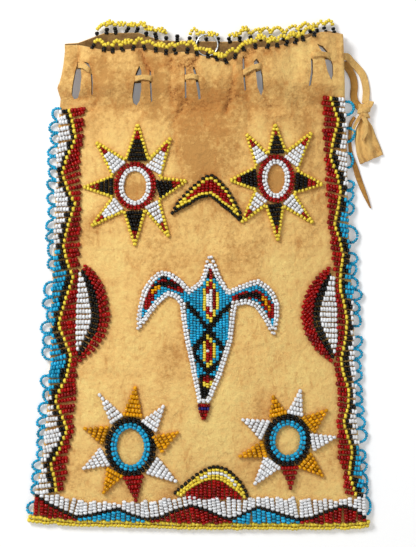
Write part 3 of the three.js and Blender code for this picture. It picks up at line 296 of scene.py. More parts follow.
# Winged figure. Each rung is (x, y) on the outer edge of the white outline and (x, y) on its inner edge.
FIGURE_OUTLINE = (
    (6.3, 14.1, 6.6, 3.9), (9.9, 7.5, 7.8, 1.5), (12.3, -0.3, 9.6, -2.7), (17.1, -9.3, 17.1, -12.6),
    (24.3, -6.3, 24.3, -9.6), (30.3, -3.9, 30.3, -7.5), (35.1, -2.7, 34.8, -6), (40.5, -5.7, 38.4, -8.4),
    (45.3, -11.1, 42.3, -12.9), (47.7, -17.7, 44.7, -18.3), (47.7, -25.5, 44.7, -24.9), (46.5, -32.1, 44.1, -28.5),
    (44.7, -38.1, 43.8, -30.9), (41.1, -32.1, 43.1, -29.1), (36.9, -24.9, 39.9, -23.1), (32.7, -19.5, 34.8, -16.5),
    (27.9, -17.7, 28.5, -14.4), (22.5, -19.2, 18.9, -15.9), (21.3, -26.1, 18, -26.1), (19.5, -40.5, 16.5, -39.9),
    (16.5, -50.1, 13.5, -49.2), (13.5, -59.7, 10.5, -58.5), (9.9, -68.1, 6.9, -66.6), (6.3, -76.5, 4.2, -74.7),
    (-0.9, -76.5, 1.2, -74.7), (-2.7, -68.1, 0.1, -66.6), (-4.5, -59.7, -1.5, -59.1), (-6.3, -50.1, -3.3, -49.5),
    (-8.7, -39.3, -5.7, -38.7), (-10.5, -28.5, -7.5, -27.9), (-11.7, -18.3, -8.4, -17.1),
    (-14.7, -14.1, -12.6, -11.7), (-18.9, -12.9, -18.9, -9.6), (-23.7, -17.1, -26.1, -15),
    (-28.5, -23.1, -30.6, -20.7), (-32.7, -29.1, -33.9, -25.8), (-37.5, -34.5, -34.8, -27.6),
    (-37.5, -26.1, -34.6, -24.3), (-36.3, -17.1, -33.3, -17.7), (-33.9, -8.7, -30.9, -10.5),
    (-29.7, -2.1, -27.3, -4.8), (-23.7, 2.4, -22.8, -0.9), (-17.1, 1.5, -17.7, -1.8), (-11.1, -2.7, -12.9, -5.4),
    (-5.7, -8.4, -6.3, -12), (-0.3, -3.9, 1.5, -6.6), (2.7, 1.5, 4.2, -1.5), (3.9, 8.7, 5.7, 2.7),
)
FIGURE_TIP = ((-1.2, -77.4, 6.6, -77.4), (-0.6, -81.6, 5.7, -81.6), (1.6, -87, 3.6, -87))
FIGURE_LATTICE = (
    px((188, 305), (200, 318), (209, 330), (219, 343), (224, 352), (222, 358), (209, 372)),
    px((232, 304), (222, 312), (212, 325), (207, 333), (197, 345), (194, 353), (200, 362), (208, 372)),
)
# Middle of the dark stripe in each wing, from the body out
FIGURE_WINGS = (
    px((181, 289), (177, 286), (169, 283.3), (162, 283.4), (156.7, 286.6), (152, 292), (149.4, 298.3), (147, 305)),
    px((235, 299.4), (241, 297.2), (249, 295.6), (256.7, 294.4), (261, 297.2), (265, 301.7), (269, 307.2),
       (272, 315)),
)
FIGURE_AMBER = px((152.4, 292.4), (155.6, 289), (159.4, 286.6), (262.4, 299), (265.8, 302), (269, 307.4))
# Lozenges down the middle: middle, half width, half height
FIGURE_LOZENGES = ((6.6, -15.3, 4.2, 12.6), (5.7, -45.9, 3.2, 9.3), (5.1, -64.2, 2.2, 3.9))
FIGURE_HEAD = (6.9, 1.0, -2.4)          # red line in the black head: middle and half width, and the head's lower end
FIGURE_FOOT = (5.1, 4.4, -60)           # black field round the lowest lozenge: middle, half width, upper end
FIGURE_NAVY = (-81.9, -79.2)            # stretch of y in which the tip is navy
STRIPE, WING = 1.5, 2.5                 # how near a bead lies to a line or a wing's line that gives its colour

# Chevron above the figure and mound at the foot: top edge, lower edge
CHEVRON = (
    (-17.6, 36.6, -16.3, 35), (-14.7, 41.7, -12.9, 37.8), (-11.1, 46.5, -8.7, 39.9), (-6.9, 50.7, -5.1, 41.7),
    (-2.1, 54.9, -1.5, 44.4), (3.3, 59.1, 2.7, 45.9), (6.9, 60.3, 6.3, 46.5), (11.1, 57.9, 9.3, 44.4),
    (15.3, 53.7, 12.3, 41.7), (18.9, 48.9, 15.3, 39.3), (22.5, 42.9, 18.3, 36.9), (24.9, 37.5, 21.3, 34.2),
    (25.2, 33.2, 23.7, 31.6),
)
MOUND = (
    (-16.5, -131.7, -11.1, -133.4), (-11.7, -127.5, -6.9, -129.7), (-5.7, -122.1, -2.7, -127),
    (0.3, -117.9, 1.5, -124.7), (5.1, -115.5, 5.1, -123.5), (9.9, -114.3, 9.9, -123), (15.3, -115.5, 14.7, -124.7),
    (20.1, -119.1, 18.3, -127.2), (24.9, -123.9, 21.9, -130), (27.9, -128.7, 24.3, -132.2),
    (30.3, -134.1, 26.5, -134.4),
)
MOUND_WHITE = (0.6, 22.8)       # stretch of x in which the mound has a white line between its yellow ones

# Loops of the side edging, from the neck down: (y at which a loop starts, x that it reaches out to)
LOOPS_LEFT = (
    (100.5, -90.3), (92.7, -90.9), (85.5, -91.5), (78.3, -92.1), (71.7, -92.7), (64.2, -92.1), (56.7, -92.7),
    (49.5, -93.3), (41.7, -92.7), (33.9, -93.3), (26.7, -93.3), (20.1, -91.5), (9.9, -92.7), (3.3, None),
    (-3.9, -93.9), (-13.5, -95.1), (-20.7, -93.9), (-27.9, -96.3), (-35.7, -95.7), (-43.5, -95.7), (-51.9, None),
    (-60.9, -96.9), (-69.3, -95.7), (-77.1, -97.5), (-85.5, -99.3), (-91.5, -98.7), (-98.1, -99.3),
    (-104.7, -99.9), (-111.3, -101.1), (-118.5, -102.3), (-125.7, -103), (-132.3, None), (-136.5, -104.5),
    (-144.5, None),
)
LOOPS_RIGHT = (
    (104.7, 93.9), (95.7, None), (88.5, 94.5), (79.5, None), (73.5, 93.9), (63.9, None), (56.7, 94.8), (50.7, 93.9),
    (43.5, 94.5), (35.7, None), (29.7, 95.7), (18.9, None), (13.5, 96.3), (6.3, 95.7), (-1.5, 96.3), (-8.7, 98.1),
    (-15.9, 97.5), (-23.1, 97.8), (-31.5, None), (-37.5, 98.1), (-44.7, 98.7), (-51.3, 98.1), (-58.5, 99),
    (-65.1, 98.7), (-71.7, 99.3), (-78.3, 99.9), (-84.9, 100.5), (-92.7, 101.7), (-101.7, None), (-105.9, 101.1),
    (-113.1, 101.7), (-119.7, 102.3), (-126.9, 102.9), (-133.5, 103.8), (-144.9, None),
)
# Stems of the mouth edging, and the stretches of x in which the back one lies hidden and has no arch
FRONT_STEMS = (
    -64.5, -57.3, -51.9, -45.9, -39.9, -32.7, -26.1, -20.1, -14.1, -7.5, -1.5, 5.1, 10.5, 16.1, 21.3, 26.7, 33.3,
    40.5, 46.5, 51.9, 57.3, 62.3, 68.7,
)
BACK_STEMS = (
    -61.5, -56.1, -50.4, -44.4, -38.4, -32.1, -26.1, -20.1, -13.5, -6.3, -1.5, 4.5, 11.1, 18.3, 24.3, 31.5, 36.9,
    43.2, 50.4, 57.3, 61.8, 66.6, 71.4, 76.2, 81.3,
)
BACK_BARE = ((-18.9, -7.5), (12.3, 19.5))

# Free ends of the thong: middle lines (x, y, z) and outlines
UPPER_STRAND = (
    (87, 131.2, 6.2), (88.2, 131.2, 6.2), (89.4, 131, 4.4), (91.9, 128.2, 2.6), (95.4, 124.8, 1), (98.4, 121, 0.6),
    (100, 116.3, 0.6), (100.8, 111.3, 0.6), (100.6, 107, 1.2), (100.2, 103.3, 2.2),
)
LOWER_STRAND = (
    (87, 126.5, 4.1), (88.2, 126.5, 4.1), (89.2, 125.2, 2.9), (91.2, 122.4, 1.6), (93, 118.4, 0.6),
    (93.6, 113.5, 0.6), (93.2, 108.6, 0.6), (94.2, 104.2, 0.6), (97.2, 100.6, 0.6),
)
KNOT_CENTRE = (99.3, 98.4, 2.6)
KNOT_WIDE, KNOT_DEEP = 3.44, 2.028      # half width and half depth of a turn of the knot
KNOT_TURNS = ((0.16, 0.7, 1.0, 1.0), (-0.5, -1.4, 0.86, 0.8))   # slant, place along y, reach and width of each
KNOT_BUNDLE = ((98.6, 103, 2.2), (98.9, 100, 2.5), (99, 97, 2.5), (98.8, 94, 2.2))
KNOT_STUB = ((100.6, 99.6, 3.2), (101.8, 101.2, 3.4), (103, 103.2, 2.4), (103.4, 104.6, 1.6))
FAN = (
    (97.2, 93.7, 101.2, 93.9), (94.8, 88, 104.2, 89.6), (94.2, 80.5, 106.4, 83.5), (95.2, 73, 109, 77.4),
    (97.2, 66.8, 110.7, 72.6),
)
# The two narrow ends over the fan: line, width
FAN_ENDS = (
    (((98.6, 95.6, 4.6), (100.2, 91.4, 4.9), (100.4, 86.6, 5), (98.2, 80.6, 4.9)), 3.0),
    (((96.6, 95.2, 3.6), (94.6, 91.6, 3.4), (93, 88, 2.4), (92.6, 84.6, 1.8)), 2.2),
)
TAIL = (
    (93.7, 95.2), (91.3, 91), (90.9, 86), (90.8, 79.5), (91.8, 72.3), (94, 65.2), (96.3, 57.9), (99.6, 49.2),
    (103.4, 40.1),
)
TAIL_WIDTHS = (2, 2, 2, 2.2, 3, 3.6, 3.2, 2.4, 0.8)

# Sorts of bead: length, spacing along the thread and step from row to row, as shares of the diameter
SORTS = {
    "band": (0.62, 0.65, 1.12), "star": (0.68, 0.71, 1.03), "rosette": (0.68, 0.71, 1.04),
    "ring": (0.76, 0.78, 1.05), "outline": (0.8, 1.0, 1.0), "figure": (0.7, 0.74, 0.94), "rim": (0.72, 0.76, 0.9),
    "foot": (0.76, 0.8, 0.8), "stem": (0.66, 0.7, 1.0), "loop": (0.74, 0.8, 1.0),
}
HOLE_SHARE = 0.34               # width of a bead's hole, as a share of its diameter
UNEVENNESS = 0.05               # how much larger or smaller than its sort a bead may be
SEAT_SHARE = 0.47               # height of a sewn bead's middle over the hide, as a share of its diameter
Kind = namedtuple("Kind", "diameter length pitch step")

# Both sides of the bag: which way is out, and the lists above that are theirs
Side = namedtuple("Side", "name out wave edge blue moon loops")
SIDES = (
    Side("left", -1, LEFT_WAVE, LEFT_EDGE, LEFT_BLUE, MOON_LEFT, LOOPS_LEFT),
    Side("right", 1, RIGHT_WAVE, RIGHT_EDGE, RIGHT_BLUE, MOON_RIGHT, LOOPS_RIGHT),
)


# Colours and materials

def linear(code):
    """Linear RGBA of an sRGB hex colour."""
    parts = [int(code[i:i + 2], 16) / 255 for i in (1, 3, 5)]
    return [c / 12.92 if c <= 0.04045 else ((c + 0.055) / 1.055) ** 2.4 for c in parts] + [1.0]


def node(tree, kind, settings=None, **inputs):
    """Adds a node. settings are its own, with "stops" for the places and colours of a ramp. An input is a value,
    a socket, or a node whose first output is meant. In its name _ is a space, and i3 is the input number 3."""
    made = tree.nodes.new(kind)
    settings = dict(settings or {})
    stops = settings.pop("stops", ())
    for name, value in settings.items():
        setattr(made, name, value)
    if stops:
        elements = made.color_ramp.elements
        while len(elements) < len(stops):
            elements.new(0.5)
        for element, (place, colour) in zip(elements, stops):
            element.position = place
            element.color = colour
    for name, value in inputs.items():
        key = int(name[1:]) if name[0] == "i" and name[1:].isdigit() else name.replace("_", " ")
        value = value.outputs[0] if isinstance(value, bpy.types.Node) else value
        if isinstance(value, bpy.types.NodeSocket):
            tree.links.new(value, made.inputs[key])
        else:
            made.inputs[key].default_value = value
    return made


# Settings that many nodes share
ADD, SUBTRACT, MULTIPLY, MAXIMUM = ({"operation": name} for name in ("ADD", "SUBTRACT", "MULTIPLY", "MAXIMUM"))


def new_material(name):
    """A material and its tree, still without nodes."""
    material = bpy.data.materials.new(name)
    material.use_nodes = True
    material.node_tree.nodes.clear()
    return material, material.node_tree


def end_material(tree, **finish):
    """Ends a material's tree in its shader, which has that finish."""
    shader = node(tree, "ShaderNodeBsdfPrincipled", **finish)
    node(tree, "ShaderNodeOutputMaterial", Surface=shader)


def shaded(colour, share, warmth=1.0):
    """A colour made lighter or darker, and warmer or paler, as hide goes: its blue changes most."""
    return [min(1.0, part * share * warmth ** k) for k, part in enumerate(colour[:3])] + [1.0]


# Sizes of the hide's patterns: clouds of colour, mottle, blots of soil and painted shade, specks, the net of fine
# cracks, the nap, ripples of the face, and streaks along x, y and z. The nap is drawn coarser than the real one, to
# show.
CLOUD, MOTTLE, BLOT, SPECK, CRACK, NAP, RIPPLE = (size * MM for size in (26, 3, 2.4, 8, 6, 1.2, 5))
AGE, RUB, PLY = (size * MM for size in (1.5, 0.8, 1.2))     # the same for glass, plated wire and thread
STREAK = (5 * MM, 13 * MM, 9 * MM)
TINGE = 2.3                     # how much lighter a faint stain is than a full one


def hide_material(name, tan, look):
    """Brain-tanned hide, smoked to a golden tan and never lacquered: a dry, napped face that scatters light
    evenly, with pores, a cloudy colour and brown patches where hands and bead threads have soiled it, and painted
    shade beside the beads and in the creases."""
    material, tree = new_material(name)
    stain = shaded(bpy.context.scene.bag_colours.stain, look.stain)
    tinge = shaded(stain, TINGE)
    place = node(tree, "ShaderNodeTexCoord").outputs["Object"]
    tone = node(tree, "ShaderNodeAttribute", {"attribute_name": "tone"}).outputs["Fac"]
    soil = node(tree, "ShaderNodeAttribute", {"attribute_name": "soil"}).outputs["Fac"]

    # The tan: clouds and mottle together, darker where the tone says so
    cloud = node(tree, "ShaderNodeTexNoise", Vector=place, Scale=1 / CLOUD, Detail=4.0, Roughness=0.55)
    mottle = node(tree, "ShaderNodeTexNoise", Vector=place, Scale=1 / MOTTLE, Detail=6.0, Roughness=0.72)
    both = node(tree, "ShaderNodeMix", {"data_type": "FLOAT"}, i0=0.47, i2=cloud, i3=mottle)
    both = node(tree, "ShaderNodeMath", {"operation": "MULTIPLY_ADD"}, i0=tone, i1=-0.15, i2=both)
    stops = ((0.33, shaded(tan, look.dark, 0.8)), (0.46, shaded(tan, 1.0)), (0.62, shaded(tan, look.light, 1.06)))
    tan = node(tree, "ShaderNodeValToRGB", {"stops": stops}, Fac=both)

    # The brown marks: soil, and painted shade beside the beads and in the creases, where the attribute marks them,
    # and everywhere specks, fine cracks and streaks
    blot = node(tree, "ShaderNodeTexNoise", Vector=place, Scale=1 / BLOT, Detail=7.0, Roughness=0.8)
    patch = node(
        tree, "ShaderNodeMapRange", Value=blot, From_Min=0.36, From_Max=0.66, To_Min=0.1, To_Max=1.35)
    speck = node(tree, "ShaderNodeTexVoronoi", Vector=place, Scale=1 / SPECK)
    spot = node(tree, "ShaderNodeMapRange", Value=speck, From_Min=0.03, From_Max=0.12, To_Min=0.45, To_Max=0.0)
    bent = node(
        tree, "ShaderNodeMix", {"data_type": "RGBA", "blend_type": "LINEAR_LIGHT"}, i0=0.012, i6=place,
        i7=mottle.outputs["Color"])
    net = node(
        tree, "ShaderNodeTexVoronoi", {"feature": "DISTANCE_TO_EDGE"}, Vector=bent.outputs[2], Scale=1 / CRACK)
    line = node(tree, "ShaderNodeMapRange", Value=net, From_Min=0.0, From_Max=0.07, To_Min=1.0, To_Max=0.0)
    where = node(tree, "ShaderNodeMapRange", Value=cloud, From_Min=0.42, From_Max=0.62, To_Min=0.0, To_Max=0.22)
    crack = node(tree, "ShaderNodeMath", MULTIPLY, i0=line, i1=where)
    drawn = node(tree, "ShaderNodeMapping", Vector=place, Scale=[1 / size for size in STREAK])
    streak = node(tree, "ShaderNodeTexNoise", Vector=drawn, Scale=1.0, Detail=7.0, Roughness=0.72, Distortion=0.5)
    scuff = node(tree, "ShaderNodeMapRange", Value=streak, From_Min=0.53, From_Max=0.72, To_Min=0.0, To_Max=0.6)
    marks = node(tree, "ShaderNodeMath", {"operation": "MULTIPLY", "use_clamp": True}, i0=soil, i1=patch)
    for mark in (spot, crack, scuff):
        marks = node(tree, "ShaderNodeMath", MAXIMUM, i0=marks, i1=mark)
    brown = node(tree, "ShaderNodeValToRGB", {"stops": ((0.0, tinge), (0.45, tinge), (1.0, stain))}, Fac=marks)
    colour = node(tree, "ShaderNodeMix", {"data_type": "RGBA"}, i0=marks, i6=tan, i7=brown)

    # The face: ripples, the cracks and the nap, each with its strength and depth in millimetres
    ripple = node(tree, "ShaderNodeTexNoise", Vector=place, Scale=1 / RIPPLE, Detail=5.0, Roughness=0.6)
    nap = node(tree, "ShaderNodeTexNoise", Vector=place, Scale=1 / NAP, Detail=3.0, Roughness=0.6)
    face = node(tree, "ShaderNodeBump", Strength=0.9, Distance=1.5 * MM, Height=ripple)
    for strength, depth, height in ((0.6, 0.4, net), (0.8, 0.35, nap)):
        face = node(tree, "ShaderNodeBump", Strength=strength, Distance=depth * MM, Height=height, Normal=face)
    end_material(
        tree, Base_Color=colour.outputs[2], Roughness=0.9, Specular_IOR_Level=0.25, Sheen_Weight=0.1,
        Sheen_Roughness=0.6, Normal=face)
    return material


def bead_material(name, light, dark_share, roughness):
    """Drawn glass cut to seed beads and tumbled round in heat: smooth and bright, a little uneven in shade
    from bead to bead, with a small sharp glint on each."""
    material, tree = new_material(name)
    shade = node(tree, "ShaderNodeAttribute", {"attribute_name": "shade"}).outputs["Fac"]
    place = node(tree, "ShaderNodeTexCoord").outputs["Object"]
    age = node(tree, "ShaderNodeTexNoise", Vector=place, Scale=1 / AGE, Detail=2.0)
    both = node(tree, "ShaderNodeMix", {"data_type": "FLOAT"}, i0=0.3, i2=shade, i3=age)
    stops = ((0.1, shaded(light, dark_share, 0.96)), (0.85, shaded(light, 1.0)))
    glass = node(tree, "ShaderNodeValToRGB", {"stops": stops}, Fac=both)
    end_material(tree, Base_Color=glass, Roughness=roughness, IOR=1.5, Specular_IOR_Level=0.17)
    return material


def steel_material():
    """Nickel-plated steel wire, drawn and bent: a bright, slightly scratched metal."""
    material, tree = new_material("nickel_plated_steel")
    place = node(tree, "ShaderNodeTexCoord").outputs["Object"]
    rub = node(tree, "ShaderNodeTexNoise", Vector=place, Scale=1 / RUB, Detail=4.0)
    rough = node(tree, "ShaderNodeMapRange", Value=rub, To_Min=0.18, To_Max=0.42)
    steel = bpy.context.scene.bag_colours.steel
    stops = ((0.3, shaded(steel, 0.62)), (0.7, shaded(steel, 1.0)))
    plate = node(tree, "ShaderNodeValToRGB", {"stops": stops}, Fac=rub)
    end_material(tree, Base_Color=plate, Metallic=1.0, Roughness=rough)
    return material


def thread_material():
    """Sinew thread, split and rolled: dull, pale brown and a little waxy."""
    material, tree = new_material("sinew_thread")
    place = node(tree, "ShaderNodeTexCoord").outputs["Object"]
    ply = node(tree, "ShaderNodeTexNoise", Vector=place, Scale=1 / PLY, Detail=3.0)
    sinew = bpy.context.scene.bag_colours.sinew
    stops = ((0.3, shaded(sinew, 0.5, 0.8)), (0.7, shaded(sinew, 1.0)))
    twist = node(tree, "ShaderNodeValToRGB", {"stops": stops}, Fac=ply)
    end_material(tree, Base_Color=twist, Roughness=0.7)
    return material


# For each colour of bead: how much of its colour the darkest one keeps, and its roughness
BEAD_LOOKS = {
    "white": (0.78, 0.22), "red": (0.3, 0.13), "black": (0.25, 0.15), "yellow": (0.78, 0.18),
    "blue": (0.48, 0.18), "amber": (0.5, 0.13), "navy": (0.3, 0.15),
}
# For each face of hide: its material's name, the shares of its colour at the lightest and the darkest, and how
# much of a stain's colour shows
HideLook = namedtuple("HideLook", "name light dark stain")
HIDE_LOOKS = {
    "hide": HideLook("smoked_hide", 1.24, 0.64, 1.0),
    "flesh": HideLook("hide_flesh_side", 1.6, 0.45, 0.35),
    "lace": HideLook("thong_hide", 1.2, 0.7, 0.8),
    "dark_lace": HideLook("thong_flesh_side", 1.37, 0.56, 0.35),
}
MATERIALS = {}


def material(name):
    """The named material, made the first time that it is asked for."""
    if name not in MATERIALS:
        if name in BEAD_LOOKS:
            colour = getattr(bpy.context.scene.bag_colours, name)
            MATERIALS[name] = bead_material(f"{name}_glass_beads", colour, *BEAD_LOOKS[name])
        elif name in HIDE_LOOKS:
            look = HIDE_LOOKS[name]
            MATERIALS[name] = hide_material(look.name, getattr(bpy.context.scene.bag_colours, name), look)
        elif name == "steel":
            MATERIALS[name] = steel_material()
        else:
            MATERIALS[name] = thread_material()
    return MATERIALS[name]


# The hide's shape

def mix(a, b, t):
    return a + (b - a) * t


def clamp(share):
    return min(1.0, max(0.0, share))


def along(rows, t, column=1):
    """Value of rows (t, value, ...) at t, straight between them, whichever way they run."""
    rows = rows if rows[-1][0] > rows[0][0] else rows[::-1]
    return float(np.interp(t, [row[0] for row in rows], [row[column] for row in rows]))


def neck_share(y):
    return clamp((y - NECK_LOW) / (NECK_FULL - NECK_LOW))


def lace_height():
    return bpy.context.scene.bag_thong.thickness / MM


def back_under(y):
    return neck_share(y) * (lace_height() + 2 * GAP)


def back_top(y):
    return back_under(y) + HIDE


def seam_gap(y):
    return GAP + neck_share(y) * 2 * (lace_height() + LACE_CLEARANCE)


def front_top(x, y):
    """Height of the front panel's outer face, as its solid has it."""
    left, right = along(LEFT_EDGE, y), along(RIGHT_EDGE, y)
    inside = min(1.0, abs(2 * (x - left) / (right - left) - 1))
    up = clamp((y - along(FOOT_EDGE, x)) / FOOT_RISE)
    neck = neck_share(y)
    crown = CROWN * (1 - inside * inside) * up * (2 - up) * (1 - NECK_SAG * neck)
    fold = NECK_FOLD * neck * (1 - inside) * math.cos(2 * math.pi * x / NECK_FOLD_PITCH)
    return back_top(y) + seam_gap(y) + crown + fold + HIDE


def away_from(line, x, y):
    """Distance from a place to a line of points."""
    best = 1e9
    for (ax, ay), (bx, by) in zip(line, line[1:]):
        run = (bx - ax) ** 2 + (by - ay) ** 2
        t = clamp(((x - ax) * (bx - ax) + (y - ay) * (by - ay)) / run)
        best = min(best, math.hypot(x - mix(ax, bx, t), y - mix(ay, by, t)))
    return best


# How unevenly the hide lies: height of each swell, its lengths along x and y, and its seed
SWELLS = ((0.9, 34, 42, 1.5), (0.4, 11, 13, 7.5), (0.12, 3.5, 5, 2.5))
FOLDS = ((0.9, 8.5, 48, 4.5), (0.3, 26, 5.5, 8.5))      # the drawstring's folds in the same way, down and across
FOLD_BEND = (2, 20, 25, 6.5)        # how far aside the folds bend, in the same way
FOLD_REST = 0.3                     # how far a fold's ridge rises, and the most that it falls is 2 less that
DRAWN_LOW, DRAWN_FULL = 62, 112     # heights at which the folds begin and are full
STILL_RIM = 9                       # how far in from the rim the seams hold the hide flat
LIP = 9                             # how far down from the mouth the back panel's lip curls
PATCH_REACH = 6                     # square of the widths of a patch of colour past which it doesn't show
CREASE_REACH = 3                    # widths of a crease past which it isn't felt


def waves(x, y, wide, tall, seed):
    """A smooth random height, between about -1 and 1, whose swells are that wide and tall."""
    return noise.noise(Vector((x / wide, y / tall, seed)))


def wrinkle(x, y):
    """How far the real hide stands off its smooth form."""
    left, right = along(LEFT_EDGE, y), along(RIGHT_EDGE, y)
    rim = clamp(min(x - left, right - x, y - along(FOOT_EDGE, x)) / STILL_RIM)
    rise = sum(height * waves(x, y, *lengths) for height, *lengths in SWELLS)
    drawn = clamp((y - DRAWN_LOW) / (DRAWN_FULL - DRAWN_LOW))
    bend = FOLD_BEND[0] * waves(x, y, *FOLD_BEND[1:])
    for (height, *lengths), place in zip(FOLDS, ((x + bend, y), (x, y + bend))):
        rise += height * drawn * (FOLD_REST - abs(waves(*place, *lengths)) * 2)
    for line, depth, width in CREASES:
        reach = away_from(line, x, y) / width
        if reach < CREASE_REACH:
            rise -= depth * math.exp(-reach * reach)
    return rise * rim


def hide_face(x, y):
    return front_top(x, y) + wrinkle(x, y)


# Meshes and pieces

def link(name, data):
    """A new object of the scene with that mesh, lamp or camera."""
    made = bpy.data.objects.new(name, data)
    bpy.context.scene.collection.objects.link(made)
    return made


def finish_piece(name, mesh, look, replaced=()):
    """A finished piece: it lies in its mesh, rides on the bag and stands for its solids."""
    made = link(name, mesh)
    if look:
        mesh.materials.clear()
        mesh.materials.append(material(look))
    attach(made, "root")
    if replaced:
        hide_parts(*replaced)
    return made


def mesh_from(name, points, faces, smooth=True, sharp=None):
    """A mesh from millimetre points and faces, its normals turned outwards."""
    mesh = bpy.data.meshes.new(name)
    mesh.from_pydata([(x * MM, y * MM, z * MM) for x, y, z in points], [], faces)
    work = bmesh.new()
    work.from_mesh(mesh)
    bmesh.ops.recalc_face_normals(work, faces=work.faces)
    work.to_mesh(mesh)
    work.free()
    mesh.shade_smooth() if smooth else mesh.shade_flat()
    if sharp:
        mesh.set_sharp_from_angle(angle=math.radians(sharp))
    return mesh


def tube(sections, closed=False):
    """Points and faces of a body from a row of equal loops. A closed one joins its last loop to its first."""
    sides, rows = len(sections[0]), len(sections)
    points = [point for loop in sections for point in loop]
    faces = []
    for i in range(rows if closed else rows - 1):
        for j in range(sides):
            a, b = i * sides + j, i * sides + (j + 1) % sides
            c, d = ((i + 1) % rows) * sides + (j + 1) % sides, ((i + 1) % rows) * sides + j
            faces.append((a, b, c, d))
    if not closed:
        faces.append(tuple(range(sides - 1, -1, -1)))
        faces.append(tuple(range((rows - 1) * sides, rows * sides)))
    return points, faces


def smooth_line(points, spacing):
    """The points of a rounded line through points, about that far apart."""
    points = [Vector(p) for p in points]
    ends = [2 * points[0] - points[1], *points, 2 * points[-1] - points[-2]]
    line = []
    for a, b, c, d in zip(ends, ends[1:], ends[2:], ends[3:]):
        steps = max(1, round((c - b).length / spacing))
        for i in range(steps):
            t = i / steps
            line.append(0.5 * (
                2 * b + (c - a) * t + (2 * a - 5 * b + 4 * c - d) * t * t + (3 * b - a - 3 * c + d) * t ** 3))
    return [*line, points[-1]]


def join(points, faces, body):
    """Adds a body, as (points, faces), to others."""
    more, walls = body
    faces.extend(tuple(k + len(points) for k in wall) for wall in walls)
    points.extend(more)


def strap_sections(line, widths, thickness, twist=None, level=None):
    """Rounded flat sections along a line. The width lies flat across the line unless twist turns it."""
    sections = []
    for i, here in enumerate(line):
        run = (line[min(len(line) - 1, i + 1)] - line[max(0, i - 1)]).normalized()
        side = level or Vector((0, 0, 1)).cross(run)
        side = (side - run * side.dot(run)).normalized()
        up = run.cross(side)
        turn = twist[i] if twist else 0.0
        side, up = side * math.cos(turn) + up * math.sin(turn), up * math.cos(turn) - side * math.sin(turn)
        half, deep = widths[i] / 2, min(thickness, widths[i]) / 2
        edge = 1 - deep * 0.6 / half
        section = (
            (1, 0.35), (edge, 1), (0, 0.62), (-edge, 1), (-1, 0.35), (-1, -0.35), (-edge, -1), (0, -0.9), (edge, -1),
            (1, -0.35))
        sections.append([here + side * half * dx + up * deep * dz for dx, dz in section])
    return sections


# Beads

def kind(name):
    """The size of one sort of bead and how its rows are set, in millimetres."""
    diameter = getattr(bpy.context.scene.bag_beads, name) / MM
    return Kind(diameter, *(share * diameter for share in SORTS[name]))


class Beadwork:
    """The beads of one motif, by colour: the place of each, the way that its thread runs, and its size."""

    placed = []                 # where every bead of the bag lies, for the soil and painted shade round them
    SHIFT, TILT, UNLIKE = 0.07, 0.05, 0.03      # how unevenly beads are placed, turned and sized
    ARCH, ARCH_RUN = 0.12, 9    # how high the middle of a row lifts off the hide, from that length of row on

    def __init__(self, sort, seed):
        self.sort = kind(sort)
        self.chance = random.Random(seed)
        self.beads = {}

    def put(self, colour, place, way):
        shake = self.chance.gauss
        x, y, z = (value + shake(0, self.SHIFT) for value in place)
        turned = Vector(way).normalized() + Vector([shake(0, self.TILT) for _ in range(3)])
        self.beads.setdefault(colour, []).append((x, y, z, *turned, 1 + shake(0, self.UNLIKE)))
        Beadwork.placed.append((x, y))

    def sew(self, colour, x, y, way, lift=0.0):
        """A bead that lies on the hide, its thread running the way (dx, dy)."""
        run = math.hypot(*way)
        slope = hide_face(x + way[0] / run, y + way[1] / run) - hide_face(x, y)
        height = hide_face(x, y) + SEAT_SHARE * self.sort.diameter + lift
        self.put(colour, (x, y, height), (way[0] / run, way[1] / run, slope))

    def row(self, a, b, colour, count=None):
        """A row of beads between two places. colour is a name, or is asked for one with (i, count, x, y)."""
        far = math.dist(a, b)
        count = count or max(1, round(far / self.sort.pitch))
        for i in range(count):
            s = (i + 0.5) / count
            x, y = mix(a[0], b[0], s), mix(a[1], b[1], s)
            name = colour(i, count, x, y) if callable(colour) else colour
            if name:
                way = (b[0] - a[0], b[1] - a[1]) if far > 0.1 else (1, 0)
                self.sew(name, x, y, way, self.ARCH * math.sin(math.pi * s) * min(1, far / self.ARCH_RUN))

    def anchored(self, origin, way, back, ahead, colour):
        """A row with a bead at origin. colour is asked with the bead's number, which is below 0 behind it."""
        first, last = -math.floor(back / self.sort.pitch + 0.35), math.floor(ahead / self.sort.pitch + 0.35)
        for i in range(first, last + 1):
            x, y = origin[0] + way[0] * i * self.sort.pitch, origin[1] + way[1] * i * self.sort.pitch
            self.sew(colour(i, x, y), x, y, way)

    def lanes(self, rungs, colour, closed=False, count=None):
        """Rows across a field given by rungs (x, y, x, y), a step apart along its middle."""
        rungs = [*rungs, rungs[0]] if closed else list(rungs)
        middle = [((ax + bx) / 2, (ay + by) / 2) for ax, ay, bx, by in rungs]
        runs = np.cumsum([0.0, *(math.dist(a, b) for a, b in zip(middle, middle[1:]))])
        rows = max(1, round(runs[-1] / self.sort.step))
        for i in range(rows):
            at = (i + 0.5) * runs[-1] / rows
            ax, ay, bx, by = (float(np.interp(at, runs, [rung[k] for rung in rungs])) for k in range(4))
            self.row((ax, ay), (bx, by), colour, count)

    def thread(self, line, colour):
        """Beads threaded along a line of (x, y, z)."""
        runs = np.cumsum([0.0, *(math.dist(a, b) for a, b in zip(line, line[1:]))])
        count = max(1, round(runs[-1] / self.sort.pitch))
        for i in range(count):
            at = (i + 0.5) * runs[-1] / count
            ahead, behind = min(runs[-1], at + 0.4), max(0.0, at - 0.4)
            here, there, back = (
                [float(np.interp(s, runs, [p[k] for p in line])) for k in range(3)] for s in (at, ahead, behind))
            self.put(colour, here, [b - a for a, b in zip(back, there)])

    def string_up(self, motif, nodes):
        """Makes the motif's pieces, one for each colour. nodes gives the solids that a colour stands for."""
        for colour, beads in self.beads.items():
            mesh = beads_mesh(f"{motif}_{colour}", beads, self.sort, material(colour))
            finish_piece(f"{motif}_{colour}_beads", mesh, None, nodes.get(colour, ()))


